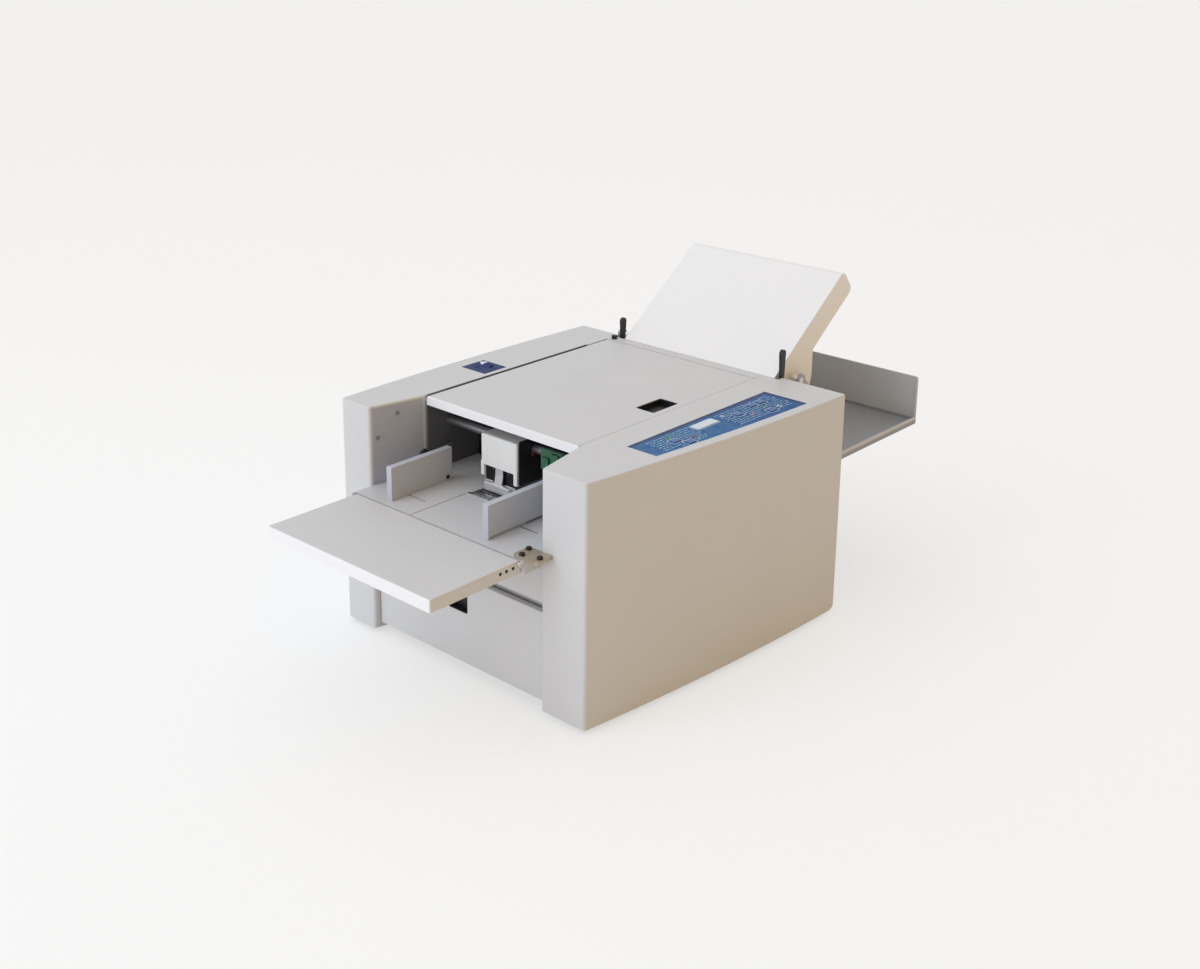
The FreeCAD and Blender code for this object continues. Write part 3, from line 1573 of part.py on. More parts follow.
def lower_fold_plate():
    end = lower_plate_start + lower_plate_length
    half = lower_plate_half
    body = lower_block(-half, half, lower_plate_start, end, lower_plate_slot / 2 + sheet)
    slot = half - lower_plate_rail
    body = body.cut(lower_block(-slot, slot, lower_plate_start - overrun, end + overrun,
                                lower_plate_slot / 2))
    for step in spread(lower_plate_start, end, 2):
        for inner, outer in ((left_frame_x + steel_plate, -half), (half, right_frame_x)):
            body = body.fuse(lower_block(inner, outer, step - lower_plate_rail, step + lower_plate_rail,
                                         lower_plate_slot / 2 + sheet))
    return body.removeSplitter()


def lower_paper_stop():
    half = lower_plate_half - lower_plate_rail - running_gap
    start = lower_plate_start + lower_stop_start
    return lower_block(-half, half, start, start + lower_stop_size, lower_plate_slot / 2 - running_gap)


def inlet_block(gap, y0, y1):
    half = inlet_width / 2 + gap
    return rounded("y", y0, y1, inlet_x - half, inlet_x + half, inlet_z - inlet_height / 2 - gap,
                   inlet_z + inlet_height / 2 + gap, inlet_wall)


def rear_panel():
    y0 = frame_rear
    y1 = y0 + rear_panel_sheet
    body = box(rear_panel_left, rear_panel_right, y0, y1, rear_panel_low, rear_panel_top)
    for i in range(vent_count):
        x = vent_left + vent_pitch * i
        body = body.cut(rounded("y", y0 - overrun, y1 + overrun, x, x + vent_width, vent_low,
                                vent_low + vent_length, vent_width / 2 - running_gap))
    under = rear_panel_top - rear_panel_sheet
    raised = rear_panel_top + exit_lip_rise
    lip = prism("x", rear_panel_left + exit_lip_inset, rear_panel_right - exit_lip_inset,
                [(y1, rear_panel_top), (y1, under), (y0, under),
                 (y0 - exit_lip_reach, raised - rear_panel_sheet / 2), (y0 - exit_lip_reach, raised)])
    body = body.fuse(lip).removeSplitter()
    return body.cut(inlet_block(0, y0 - overrun, y1 + overrun))


def power_inlet():
    y1 = frame_rear + rear_panel_sheet
    body = inlet_block(0, y1 - inlet_depth, y1 + inlet_wall)
    body = body.fuse(inlet_block(inlet_flange, y1, y1 + inlet_wall))
    body = body.cut(inlet_block(-inlet_wall, y1 - inlet_depth + inlet_wall, y1 + inlet_wall + overrun))
    width, height, length = inlet_blade
    back = y1 - inlet_depth
    for x, z in ((-inlet_blade_offset, 0), (0, inlet_blade_offset / 2), (inlet_blade_offset, 0)):
        body = body.fuse(box(inlet_x + x - width / 2, inlet_x + x + width / 2, back, back + length,
                             inlet_z + z - height / 2, inlet_z + z + height / 2))
    return body.removeSplitter()


def rear_tray():
    wall = rear_panel_sheet
    low = stack_floor - wall
    high = stack_floor + stack_wall_height
    body = rounded("z", low, high, stack_left, stack_right, stack_front, stack_rear, stack_corner)
    body = body.cut(box(stack_left - overrun, stack_right + overrun, stack_front - overrun,
                        stack_rear - stack_corner, stack_floor + stack_rim, high + overrun))
    body = body.cut(rounded("z", stack_floor, high + overrun, stack_left + wall, stack_right - wall,
                            stack_front + wall, stack_rear - wall, stack_corner - wall))
    return body.removeSplitter()


def tray_hooks():
    pieces = []
    width = stack_right - stack_left
    face = frame_rear + rear_panel_sheet
    high = stack_floor - rear_panel_sheet
    for share in (hook_share, 1 - hook_share):
        x = stack_left + width * share
        arm = box(x - hook_width / 2, x + hook_width / 2, face, face + hook_reach, high - hook_sheet, high)
        leg = box(x - hook_width / 2, x + hook_width / 2, face, face + hook_sheet, high - hook_reach, high)
        web = prism("x", x - hook_sheet / 2, x + hook_sheet / 2,
                    [(face, high), (face + hook_reach, high), (face + hook_reach, high - hook_sheet),
                     (face + hook_sheet, high - hook_reach), (face, high - hook_reach)])
        end = stack_front - seat_gap
        lip = box(x - hook_width / 2, x + hook_width / 2, end - hook_sheet, end,
                  high, stack_floor + hook_sheet)
        pieces.append(join([arm, leg, web, lip]))
    return Part.makeCompound(pieces)


def vacuum_pump():
    low = foot_height + sheet
    high = low + pump_height
    body = rounded("z", low, high, pump_left, pump_left + pump_width, pump_front, pump_front + pump_length,
                   pump_edge_radius)
    for z in spread(low, high, drum_groove_count):
        ring = box(pump_left - overrun, pump_left + pump_width + overrun, pump_front - overrun,
                   pump_front + pump_length + overrun, z - sheet, z + sheet)
        edge = pump_edge_radius
        core = box(pump_left + edge, pump_left + pump_width - edge, pump_front + edge,
                   pump_front + pump_length - edge, z - sheet, z + sheet)
        body = body.cut(ring.cut(core))
    port = (pump_port_x, pump_port_y)
    body = body.fuse(rod(pump_head_radius, (*port, high), (*port, high + pump_head_height)))
    top = high + pump_head_height
    body = body.fuse(rod(pump_port_radius, (*port, top), (*port, top + pump_port_length)))
    side = pump_left + pump_width
    can = (pump_front + pump_length / 2, low + pump_height / 2)
    return join([body, rod(pump_can_radius, (side, *can), (side + pump_can_length, *can))])


def bent_tube(radius, points):
    """A tube along straight runs joined by tangent arcs as large as the runs allow."""
    corners = [V(*p) for p in points]
    edges = []
    here = corners[0]
    for before, at, after in zip(corners, corners[1:], corners[2:]):
        back = before - at
        ahead = after - at
        shorter = min(back.Length, ahead.Length)
        back.normalize()
        ahead.normalize()
        cut = shorter * hose_run_share
        start = at + back * cut
        end = at + ahead * cut
        middle = back + ahead
        middle.normalize()
        half = math.acos(max(-1, min(1, back.dot(ahead)))) / 2
        bend = cut * math.tan(half)
        centre_gap = cut / math.cos(half)
        print("hose bend radius", round(bend, 1))
        edges.append(Part.LineSegment(here, start).toShape())
        edges.append(Part.Arc(start, at + middle * (centre_gap - bend), end).toShape())
        here = end
    edges.append(Part.LineSegment(here, corners[-1]).toShape())
    wire = Part.Wire(edges)
    section = Part.Wire([Part.Circle(corners[0], corners[1] - corners[0], radius).toShape()])
    solid = wire.makePipeShell([section], True, False)
    print("hose volume share", round(solid.Volume / (math.pi * radius ** 2 * wire.Length), 4))
    return solid


def vacuum_hose():
    top = foot_height + sheet + pump_height + pump_head_height + pump_port_length
    end = drum_left - drum_end_gap - drum_bracket_thickness
    return bent_tube(hose_radius, [(pump_port_x, pump_port_y, top), (pump_port_x, pump_port_y, hose_rise),
                                   (hose_lane_x, hose_turn_y, hose_sag), (hose_lane_x, drum_y, drum_z),
                                   (end, drum_y, drum_z)])


def wall_fittings():
    pieces = []
    lean = math.hypot(inner_front - inner_throat, flare_length)
    normal = (flare_length / lean, -(inner_front - inner_throat) / lean)
    for y, drop, radius in fitting_places:
        z = body_top - drop
        x = -wall_x(y)
        far = (x + normal[0] * fitting_height, y + normal[1] * fitting_height, z)
        pieces.append(rod(radius, (x, y, z), far))
    x = -inner_throat
    tip_y = latch_y - latch_length
    tip_z = latch_z + latch_rise
    arm = prism("x", x, x + latch_sheet, [(latch_y, latch_z - latch_half), (latch_y, latch_z + latch_half),
                                          (tip_y, tip_z + latch_half), (tip_y, tip_z - latch_half)])
    eye = rod(latch_pin_radius, (x, latch_y, latch_z), (x + latch_sheet * 2, latch_y, latch_z))
    pieces.append(join([arm, eye]))
    return Part.makeCompound(pieces)


def origin_shift():
    """From the drawing's zero to the middle of the part's underside."""
    right = outer_x(1, cover_depth, 0)
    left = min(outer_x(-1, cover_depth * i / 200, 0) for i in range(201))
    return V(-(left + right) / 2, -(tray_front + stack_rear) / 2, 0)


PIECES = {
    "base_plate": base_plate,
    "rubber_feet": rubber_feet,
    "left_frame_plate": lambda: frame_plate(True),
    "right_frame_plate": lambda: frame_plate(False),
    "cross_bars_and_pins": lambda: gather(frame_tie_bars(), separator_bar(), lever_pins()),
    "left_side_cover": left_side_cover,
    "right_side_cover": right_side_cover,
    "rear_top_strip": rear_top_strip,
    "rear_panel": rear_panel,
    "power_inlet": power_inlet,
    "front_apron": front_apron,
    "feed_table": table_with_lugs,
    "throat_panel": throat_panel,
    "transport_guide": transport_guide,
    "separator_housing": separator_housing,
    "separator_side_plate": separator_side_plate,
    "separator_gate": separator_gate,
    "circuit_boards": lambda: gather(circuit_board(), control_board()),
    "drive_motor": drive_motor,
    "drive_belt": drive_belt,
    "vacuum_pump": vacuum_pump,
    "vacuum_hose": vacuum_hose,
    "drum_motor_and_brackets": lambda: gather(drum_brackets(), drum_motor()),
    "control_panel": control_panel,
    "display_window": display_window,
    "power_switch_body": lambda: gather(switch_plate(), switch_housing()),
    "lower_fold_plate": lower_fold_plate,
    "rear_tray": rear_tray,
    "tray_hooks": tray_hooks,
    "tray_bracket": tray_bracket,
    "screws_and_latch": lambda: gather(bracket_screws(), wall_fittings()),
    "roller_bushes": roller_bushes,
    "lid_hinge": lambda: gather(lid_hinge_rod(), lid_hinge_brackets()),
    "top_lid": top_lid,
    "finger_cup": finger_cup,
    "feed_tray": feed_tray,
    "left_side_guide": lambda: side_guide(-1),
    "right_side_guide": lambda: side_guide(1),
    "guide_pinion": guide_pinion,
    "motor_pulley": motor_pulley,
    "suction_drum": suction_drum,
    "upper_fold_plate": upper_fold_plate,
    "upper_paper_stop": upper_paper_stop,
    "lower_paper_stop": lower_paper_stop,
    "left_lock_lever": left_lock_lever,
    "right_lock_lever": right_lock_lever,
    "trim_knob": trim_knob,
    "power_rocker": power_rocker,
    "lower_door": lower_door,
    "door_cup": door_cup,
}

for index in range(len(rollers)):
    number = str(index + 1)
    PIECES["fold_roller_" + number] = lambda index=index: driven_roller(index)
for name in button_places:
    PIECES[name] = lambda name=name: button(name)

shift = origin_shift()
for name, make in PIECES.items():
    piece = make()
    piece.translate(shift)
    piece.exportStep("parts/" + name + ".step")
    print(name, len(piece.Solids), piece.isValid(), round(piece.Volume / 1000, 1))
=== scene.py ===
import json
import math

import bmesh
import bpy
from mathutils import Matrix, Vector


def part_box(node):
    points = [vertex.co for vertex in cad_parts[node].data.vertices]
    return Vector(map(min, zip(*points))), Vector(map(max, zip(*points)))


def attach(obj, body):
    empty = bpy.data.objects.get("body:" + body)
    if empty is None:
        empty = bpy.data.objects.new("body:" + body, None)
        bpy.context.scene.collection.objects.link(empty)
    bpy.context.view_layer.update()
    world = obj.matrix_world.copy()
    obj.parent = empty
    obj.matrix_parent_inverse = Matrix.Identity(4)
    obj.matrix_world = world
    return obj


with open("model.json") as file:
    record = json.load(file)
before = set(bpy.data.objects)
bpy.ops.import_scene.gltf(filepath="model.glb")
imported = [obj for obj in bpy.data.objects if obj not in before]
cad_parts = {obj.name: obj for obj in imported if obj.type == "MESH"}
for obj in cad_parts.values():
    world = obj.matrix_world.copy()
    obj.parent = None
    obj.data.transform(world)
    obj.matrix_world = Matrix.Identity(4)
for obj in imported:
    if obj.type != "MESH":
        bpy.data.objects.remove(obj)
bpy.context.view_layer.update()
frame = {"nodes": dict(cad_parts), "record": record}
nodes = frame["nodes"]

MM = 0.001
X, Y, Z = range(3)
SHIFT = (-29.5, -329.75, 0.0)
BODY_TOP = 384.0
TABLE_TOP = 254.5
TRAY_FLOOR_TOP = 258.5
BEYOND = 400.0


def row(x, y, z):
    """From the source's drawing millimetres to the row frame's metres."""
    return Vector(((x + SHIFT[0]) * MM, (y + SHIFT[1]) * MM, z * MM))


def shade(*rgb):
    """A linear colour from one written in 0 to 255 screen values."""
    out = []
    for value in rgb:
        v = value / 255
        out.append(v / 12.92 if v <= 0.04045 else ((v + 0.055) / 1.055) ** 2.4)
    return (*out, 1.0)


class Finish:
    """A node material under construction, in the object's own metres."""

    def __init__(self, name, rgb, rough, metallic=0.0, coat=0.0, specular=0.5):
        self.mat = bpy.data.materials.new(name)
        self.mat.use_nodes = True
        self.tree = self.mat.node_tree
        self.bsdf = self.tree.nodes["Principled BSDF"]
        self.bsdf.inputs["Metallic"].default_value = metallic
        self.bsdf.inputs["Specular IOR Level"].default_value = specular
        self.bsdf.inputs["Coat Weight"].default_value = coat
        self.bsdf.inputs["Coat Roughness"].default_value = 0.12
        self.coords = self.node("ShaderNodeTexCoord").outputs["Object"]
        self.rough = rough
        self.set("Roughness", rough)
        rgb_node = self.node("ShaderNodeRGB")
        rgb_node.outputs[0].default_value = shade(*rgb)
        self.colour = rgb_node.outputs[0]
        self.height = None

    def node(self, kind, **values):
        made = self.tree.nodes.new(kind)
        for key, value in values.items():
            setattr(made, key, value)
        return made

    def link(self, a, b):
        self.tree.links.new(a, b)

    def set(self, socket, value):
        self.bsdf.inputs[socket].default_value = value

    def noise(self, scale, detail=3.0, stretch=None, roughness=0.55):
        source = self.coords
        if stretch:
            mapping = self.node("ShaderNodeMapping")
            mapping.inputs["Scale"].default_value = stretch
            self.link(source, mapping.inputs["Vector"])
            source = mapping.outputs[0]
        tex = self.node("ShaderNodeTexNoise")
        tex.inputs["Scale"].default_value = scale
        tex.inputs["Detail"].default_value = detail
        tex.inputs["Roughness"].default_value = roughness
        self.link(source, tex.inputs["Vector"])
        return tex.outputs["Fac"]

    def ramp(self, fac, low, high, to_low=0.0, to_high=1.0):
        node = self.node("ShaderNodeMapRange")
        node.inputs["From Min"].default_value = low
        node.inputs["From Max"].default_value = high
        node.inputs["To Min"].default_value = to_low
        node.inputs["To Max"].default_value = to_high
        self.link(fac, node.inputs["Value"])
        return node.outputs["Result"]

    def blend(self, fac, rgb, amount=1.0, mode="MIX"):
        """Mixes another colour into the base where fac is high."""
        mix = self.node("ShaderNodeMix", data_type="RGBA", blend_type=mode)
        scaled = self.node("ShaderNodeMath", operation="MULTIPLY")
        scaled.inputs[1].default_value = amount
        self.link(fac, scaled.inputs[0])
        self.link(scaled.outputs[0], mix.inputs["Factor"])
        self.link(self.colour, mix.inputs["A"])
        mix.inputs["B"].default_value = shade(*rgb)
        self.colour = mix.outputs["Result"]
        return self

    def mottle(self, rgb, scale=9.0, amount=0.35, stretch=None):
        return self.blend(self.ramp(self.noise(scale, 4.0, stretch), 0.35, 0.7), rgb, amount)

    def speckle(self, rgb, scale, amount, low=0.60, high=0.68):
        return self.blend(self.ramp(self.noise(scale, 2.0), low, high), rgb, amount)

    def bump(self, fac, strength, distance):
        node = self.node("ShaderNodeBump")
        node.inputs["Strength"].default_value = strength
        node.inputs["Distance"].default_value = distance
        self.link(fac, node.inputs["Height"])
        if self.height is not None:
            self.link(self.height, node.inputs["Normal"])
        self.height = node.outputs["Normal"]
        return self

    def grain(self, scale=700.0, strength=0.12, distance=0.0002, stretch=None):
        return self.bump(self.noise(scale, 2.0, stretch), strength, distance)

    def gloss(self, scale, spread, stretch=None):
        fac = self.noise(scale, 3.0, stretch)
        uneven = self.ramp(fac, 0.3, 0.7, self.rough - spread, self.rough + spread)
        self.link(uneven, self.bsdf.inputs["Roughness"])
        return self

    def product(self, a, b):
        node = self.node("ShaderNodeMath", operation="MULTIPLY")
        self.link(a, node.inputs[0])
        self.link(b, node.inputs[1])
        return node.outputs[0]

    def band(self, axis, low, high, soft=0.5):
        """One inside a span of drawing millimetres along an axis, zero outside it."""
        split = self.node("ShaderNodeSeparateXYZ")
        self.link(self.coords, split.inputs[0])
        low, high, soft = (low + SHIFT[axis]) * MM, (high + SHIFT[axis]) * MM, soft * MM
        rise = self.ramp(split.outputs[axis], low - soft, low + soft)
        fall = self.ramp(split.outputs[axis], high - soft, high + soft, 1.0, 0.0)
        return self.product(rise, fall)

    def done(self):
        self.link(self.colour, self.bsdf.inputs["Base Color"])
        if self.height is not None:
            self.link(self.height, self.bsdf.inputs["Normal"])
        return self.mat


def coat(name, rgb, dark, rough):
    """The colour of a powder coat: a slight mottle and fine specks."""
    paint = Finish(name, rgb, rough, specular=0.4)
    paint.mottle(dark, 6.0, 0.30)
    return paint.speckle(dark, 1400.0, 0.20)


def skin(paint, grain=0.10, scale=620.0):
    """The surface of a powder coat: orange peel and uneven sheen."""
    paint.grain(scale, grain, 0.00025)
    paint.grain(60.0, 0.02, 0.0006)
    return paint.gloss(14.0, 0.05).done()


def painted(name, rgb, dark, rough=0.48, grain=0.10, scale=620.0):
    return skin(coat(name, rgb, dark, rough), grain, scale)


COVER_GREY = (208, 208, 209)
COVER_DARK = (201, 201, 203)


def cover_paint_with_shade():
    """The covers' paint, darker and cooler inside the flare as painted shade, with dark painted shade on the
    wall behind it under the lid.
    """
    paint = coat("cover_grey", COVER_GREY, COVER_DARK, 0.48)
    # Painted shade: the flare's inner face is painted darker and cooler, standing in for the shade in the
    # recess.
    flare = paint.product(paint.band(X, -184.0, -165.8), paint.band(Z, 200.0, BODY_TOP - 4.0))
    paint.blend(flare, (170, 176, 192), 0.85)
    # Painted shade: the wall behind the flare, under the lid, is painted dark grey where the lid's shade
    # falls.
    painted_shade_under_lid = paint.product(paint.band(X, -166.5, -70.5), paint.band(Y, 100.0, 480.0, 4.0))
    paint.blend(painted_shade_under_lid, (74, 78, 90), 0.9)
    return skin(paint)


def edge_highlight_finish(name, front):
    """The covers' paint with a painted highlight: a near-white band along the rounded front edge, standing in
    for the light it catches.
    """
    paint = coat(name, COVER_GREY, COVER_DARK, 0.48)
    # Painted highlight: the front edge is lightened to near white.
    paint.blend(paint.band(Y, front - 2.0, front + 0.9, 0.3), (240, 240, 242), 0.9)
    paint.grain(620.0, 0.10, 0.00025)
    return paint.gloss(14.0, 0.05).done()


def rear_finish():
    """The rear tray's paint: paler walls over a darker floor, the floor's darkness being painted shade from
    the machine and fold plate above it.
    """
    paint = Finish("rear_paint", (196, 197, 200), 0.44, specular=0.4)
    paint.mottle((186, 188, 192), 6.0, 0.30)
    # Painted shade: the floor is darkened where the machine and the fold plate shade it.
    paint.blend(paint.band(Z, 200.0, TRAY_FLOOR_TOP, 1.0), (142, 144, 148), 0.9)
    paint.grain(800.0, 0.08, 0.00025)
    return paint.gloss(14.0, 0.05).done()


def moulded(name, rgb, light, rough=0.5, grain=0.25, scale=1100.0):
    plastic = Finish(name, rgb, rough)
    plastic.mottle(light, 22.0, 0.35)
    plastic.grain(scale, grain, 0.00015)
    return plastic.gloss(40.0, 0.08).done()


def brushed(name, rgb, dark, along, rough=0.34, metallic=0.95):
    """Metal with fine streaks drawn out along one axis."""
    metal = Finish(name, rgb, rough, metallic)
    stretch = [60.0, 60.0, 60.0]
    stretch[along] = 1.0
    metal.mottle(dark, 14.0, 0.40, stretch)
    metal.mottle(dark, 8.0, 0.25)
    metal.grain(30.0, 0.10, 0.0001, stretch)
    return metal.gloss(10.0, 0.08, stretch).done()


def cast(name, rgb, dark, rough=0.6, metallic=0.6):
    metal = Finish(name, rgb, rough, metallic)
    metal.mottle(dark, 30.0, 0.5)
    metal.grain(420.0, 0.45, 0.0004)
    return metal.gloss(60.0, 0.1).done()


def rubbery(name, rgb, light, rough=0.75):
    rubber = Finish(name, rgb, rough, specular=0.3)
    rubber.mottle(light, 35.0, 0.45)
    rubber.grain(900.0, 0.35, 0.0002)
    return rubber.gloss(50.0, 0.06).done()


def roller_finish():
    """Ground rubber between the frames, bare steel shaft ends and a pale gear."""
    rubber = Finish("roller_rubber", (58, 58, 62), 0.62)
    rubber.mottle((84, 84, 88), 40.0, 0.35)
    steel = (176, 178, 182)
    nylon = (226, 222, 204)
    alloy = (150, 152, 156)
    for low, high, rgb in ((-BEYOND, -160.0, steel), (190.0, BEYOND, steel), (206.0, 214.0, nylon),
                           (217.0, 227.0, alloy)):
        rubber.blend(rubber.band(X, low, high), rgb)
    rubber.grain(500.0, 0.25, 0.0002)
    return rubber.gloss(30.0, 0.08).done()


def keypad_finish():
    """Printed film: mid blue, deeper along its inner and rear borders."""
    film = Finish("panel_blue", (36, 92, 150), 0.5, specular=0.2)
    film.mottle((62, 122, 168), 90.0, 0.6)
    film.blend(film.band(X, 214.0, 221.0, 0.8), (10, 34, 88))
    film.blend(film.band(Y, 480.0, 487.0, 0.8), (10, 34, 88))
    film.blend(film.band(Y, 333.0, 480.0, 12.0), (26, 76, 140), 0.5)
    film.grain(1500.0, 0.10, 0.0001)
    return film.gloss(60.0, 0.06).done()


def gate_finish():
    """Bright spring steel, with dark painted shade beside its middle finger, standing in for the gaps under
    the head's box.
    """
    steel = Finish("gate_steel", (214, 214, 216), 0.34, 0.55)
    steel.mottle((178, 178, 182), 60.0, 0.4, (1.0, 1.0, 12.0))
    # Painted shade: two fields of the steel are painted nearly black where the gaps under the head's box look
    # dark.
    shade_black = (30, 30, 33)
    for low, high in ((-44.0, -21.0), (-5.0, 20.0)):
        shade_field = steel.product(steel.band(X, low, high), steel.band(Z, 272.5, 298.5))
        steel.blend(shade_field, shade_black)
    steel.grain(700.0, 0.15, 0.0001)
    return steel.gloss(40.0, 0.08).done()


def board_finish():
    board = Finish("board_green", (30, 92, 62), 0.4, coat=0.2)
    board.mottle((52, 130, 86), 60.0, 0.5)
    board.speckle((190, 178, 120), 900.0, 0.8, 0.66, 0.70)
    board.grain(600.0, 0.3, 0.0003)
    return board.gloss(80.0, 0.1).done()


def display_finish():
    glass = Finish("display", (206, 216, 224), 0.14, coat=0.6)
    glass.mottle((188, 200, 212), 45.0, 0.5)
    return glass.gloss(30.0, 0.05).done()


M = {
    "gate_steel": gate_finish(),
    "panel_blue": keypad_finish(),
    "display": display_finish(),
    "roller_rubber": roller_finish(),
    "board_green": board_finish(),
    "cover_grey": cover_paint_with_shade(),
    "lid_grey": edge_highlight_finish("lid_grey", 99.0),
    "tray_paint": edge_highlight_finish("tray_paint", -203.5),
    "rear_paint": rear_finish(),
}
PLAIN_FINISHES = (
    (painted, {
        "painted_grey": (COVER_GREY, COVER_DARK),
        "feed_paint": ((204, 204, 206), (197, 197, 199), 0.40, 0.06, 900.0),
        "fold_plate_white": ((240, 240, 240), (234, 234, 235), 0.42, 0.06, 800.0),
        "guide_grey": ((190, 194, 203), (178, 182, 191), 0.40, 0.06, 900.0),
    }),
    (moulded, {
        "head_white": ((228, 228, 226), (238, 238, 236), 0.42, 0.15),
        "black_plastic": ((22, 22, 24), (40, 40, 43), 0.46),
        "button_blue": ((66, 104, 158), (86, 122, 172), 0.42, 0.2),
        "switch_navy": ((12, 38, 98), (24, 56, 124), 0.62, 0.15),
        "gear_nylon": ((226, 222, 204), (236, 233, 220), 0.45, 0.15),
        "ink_navy": ((12, 36, 92), (22, 50, 108), 0.5, 0.08),
        "ink_white": ((214, 224, 234), (196, 208, 222), 0.36, 0.08),
        "ink_pale": ((142, 176, 190), (104, 148, 180), 0.5, 0.08),
        "ink_red": ((176, 62, 66), (196, 84, 84), 0.36, 0.08),
        "ink_green": ((70, 150, 96), (96, 172, 118), 0.36, 0.08),
        "cap_red": ((112, 44, 38), (132, 58, 50), 0.44, 0.1),
    }),
    (brushed, {
        "chassis_zinc": ((168, 170, 172), (128, 130, 133), Y, 0.40, 0.85),
        "stop_aluminium": ((196, 198, 201), (160, 162, 166), X),
        "bracket_brass": ((196, 184, 164), (150, 136, 114), Y, 0.40, 0.7),
        "bright_screw": ((196, 196, 198), (130, 130, 134), Z, 0.30),
    }),
    (cast, {
        "bush_brass": ((186, 150, 84), (150, 116, 58), 0.42, 0.9),
        "motor_dark": ((58, 60, 63), (38, 39, 41), 0.55, 0.4),
        "pump_cast": ((150, 152, 154), (116, 118, 121), 0.55, 0.7),
        "dark_screw": ((44, 42, 42), (84, 78, 72), 0.42, 0.8),
    }),
    (rubbery, {"black_rubber": ((28, 28, 29), (48, 48, 50))}),
)
for make, finishes in PLAIN_FINISHES:
    for name, values in finishes.items():
        M[name] = make(name, *values)

NODE_SHARP = 28
BEVELS = {
    "feed_table": 0.5, "front_apron": 0.4, "lower_door": 0.8, "feed_tray": 0.7, "rear_top_strip": 0.6,
    "left_side_guide": 0.4, "right_side_guide": 0.4, "tray_bracket": 0.4, "rear_tray": 0.7,
    "left_lock_lever": 0.8, "right_lock_lever": 0.8, "control_panel": 0.25, "rear_panel": 0.4,
}
slot_of = {part["node"]: part["material_slot"] for part in frame["record"]["subparts"]}
finish_of = {**slot_of, "tray_bracket": "bracket_brass", "left_side_cover": "cover_grey",
             "right_side_cover": "cover_grey", "top_lid": "lid_grey", "feed_tray": "tray_paint",
             "left_side_guide": "guide_grey", "right_side_guide": "guide_grey", "rear_tray": "rear_paint"}


def smooth(mesh, degrees):
    mesh.shade_smooth()
    mesh.set_sharp_from_angle(angle=math.radians(degrees))


for name, obj in nodes.items():
    obj.data.materials.clear()
    obj.data.materials.append(M[finish_of[name]])
    smooth(obj.data, NODE_SHARP)
    if name in BEVELS:
        edge = obj.modifiers.new("edge", "BEVEL")
        edge.width = BEVELS[name] * MM
        edge.segments = 2
        edge.limit_method = "ANGLE"
        edge.angle_limit = math.radians(50)
        edge.harden_normals = True


def keep(name, mesh, material, body, sharp=30):
    """A detail piece that rides on one of the frame's bodies."""
    obj = bpy.data.objects.new(name, mesh)
    bpy.context.scene.collection.objects.link(obj)
    mesh.materials.append(M[material])
    smooth(mesh, sharp)
    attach(obj, body)


def to_mesh(bm, name):
    mesh = bpy.data.meshes.new(name)
    bmesh.ops.recalc_face_normals(bm, faces=bm.faces)
    bm.to_mesh(mesh)
    bm.free()
    return mesh


def slab(bm, outline, low, high):
    """A flat piece between two levels from an outline in drawing millimetres."""
    bottom = [bm.verts.new(row(x, y, low)) for x, y in outline]
    top = [bm.verts.new(row(x, y, high)) for x, y in outline]
    bm.faces.new(list(reversed(bottom)))
    bm.faces.new(top)
    count = len(outline)
    for i in range(count):
        j = (i + 1) % count
        bm.faces.new([bottom[i], bottom[j], top[j], top[i]])


def rectangle(x0, x1, y0, y1, radius=0.0, steps=4):
    if not radius:
        return [(x0, y0), (x1, y0), (x1, y1), (x0, y1)]
    points = []
    for cx, cy, start in ((x1 - radius, y0 + radius, -90), (x1 - radius, y1 - radius, 0),
                          (x0 + radius, y1 - radius, 90), (x0 + radius, y0 + radius, 180)):
        for i in range(steps + 1):
            turn = math.radians(start + 90 * i / steps)
            points.append((cx + radius * math.cos(turn), cy + radius * math.sin(turn)))
    return points


def ring(bm, outer, inner, low, high):
    """A flat frame between two outlines of equal count."""
    rims = []
    for outline in (outer, inner):
        rims.append([[bm.verts.new(row(x, y, z)) for x, y in outline] for z in (low, high)])
    count = len(outer)
    for i in range(count):
        j = (i + 1) % count
        (ol, oh), (il, ih) = rims
        bm.faces.new([ol[i], ol[j], oh[j], oh[i]])
        bm.faces.new([il[j], il[i], ih[i], ih[j]])
        bm.faces.new([oh[i], oh[j], ih[j], ih[i]])
        bm.faces.new([ol[j], ol[i], il[i], il[j]])


HEAD_SIDES = 18
SOCKET_SIDES = 6
HEAD_PROFILE = ((1.0, 0.0), (1.0, 0.45), (0.86, 0.85), (0.6, 1.0))


def head(bm, centre, axis, radius, height, socket):
    """A domed head with a six-sided socket, standing on a face."""
    axis = Vector(axis).normalized()
    side = axis.orthogonal().normalized()
    across = axis.cross(side)

    def loop(r, up, sides=0):
        verts = []
        for i in range(HEAD_SIDES):
            turn = 2 * math.pi * i / HEAD_SIDES
            reach = r
            if sides:
                step = 2 * math.pi / sides
                reach = r * math.cos(step / 2) / math.cos((turn % step) - step / 2)
            outward = (side * math.cos(turn) + across * math.sin(turn)) * reach
            verts.append(bm.verts.new(Vector(centre) + outward * MM + axis * up * MM))
        return verts

    loops = [loop(radius * out, height * up) for out, up in HEAD_PROFILE]
    loops += [loop(socket, height, SOCKET_SIDES), loop(socket, height * 0.35, SOCKET_SIDES)]
    for a, b in zip(loops, loops[1:]):
        for i in range(HEAD_SIDES):
            j = (i + 1) % HEAD_SIDES
            bm.faces.new([a[i], a[j], b[j], b[i]])
    bm.faces.new(loops[-1])
    bm.faces.new(list(reversed(loops[0])))


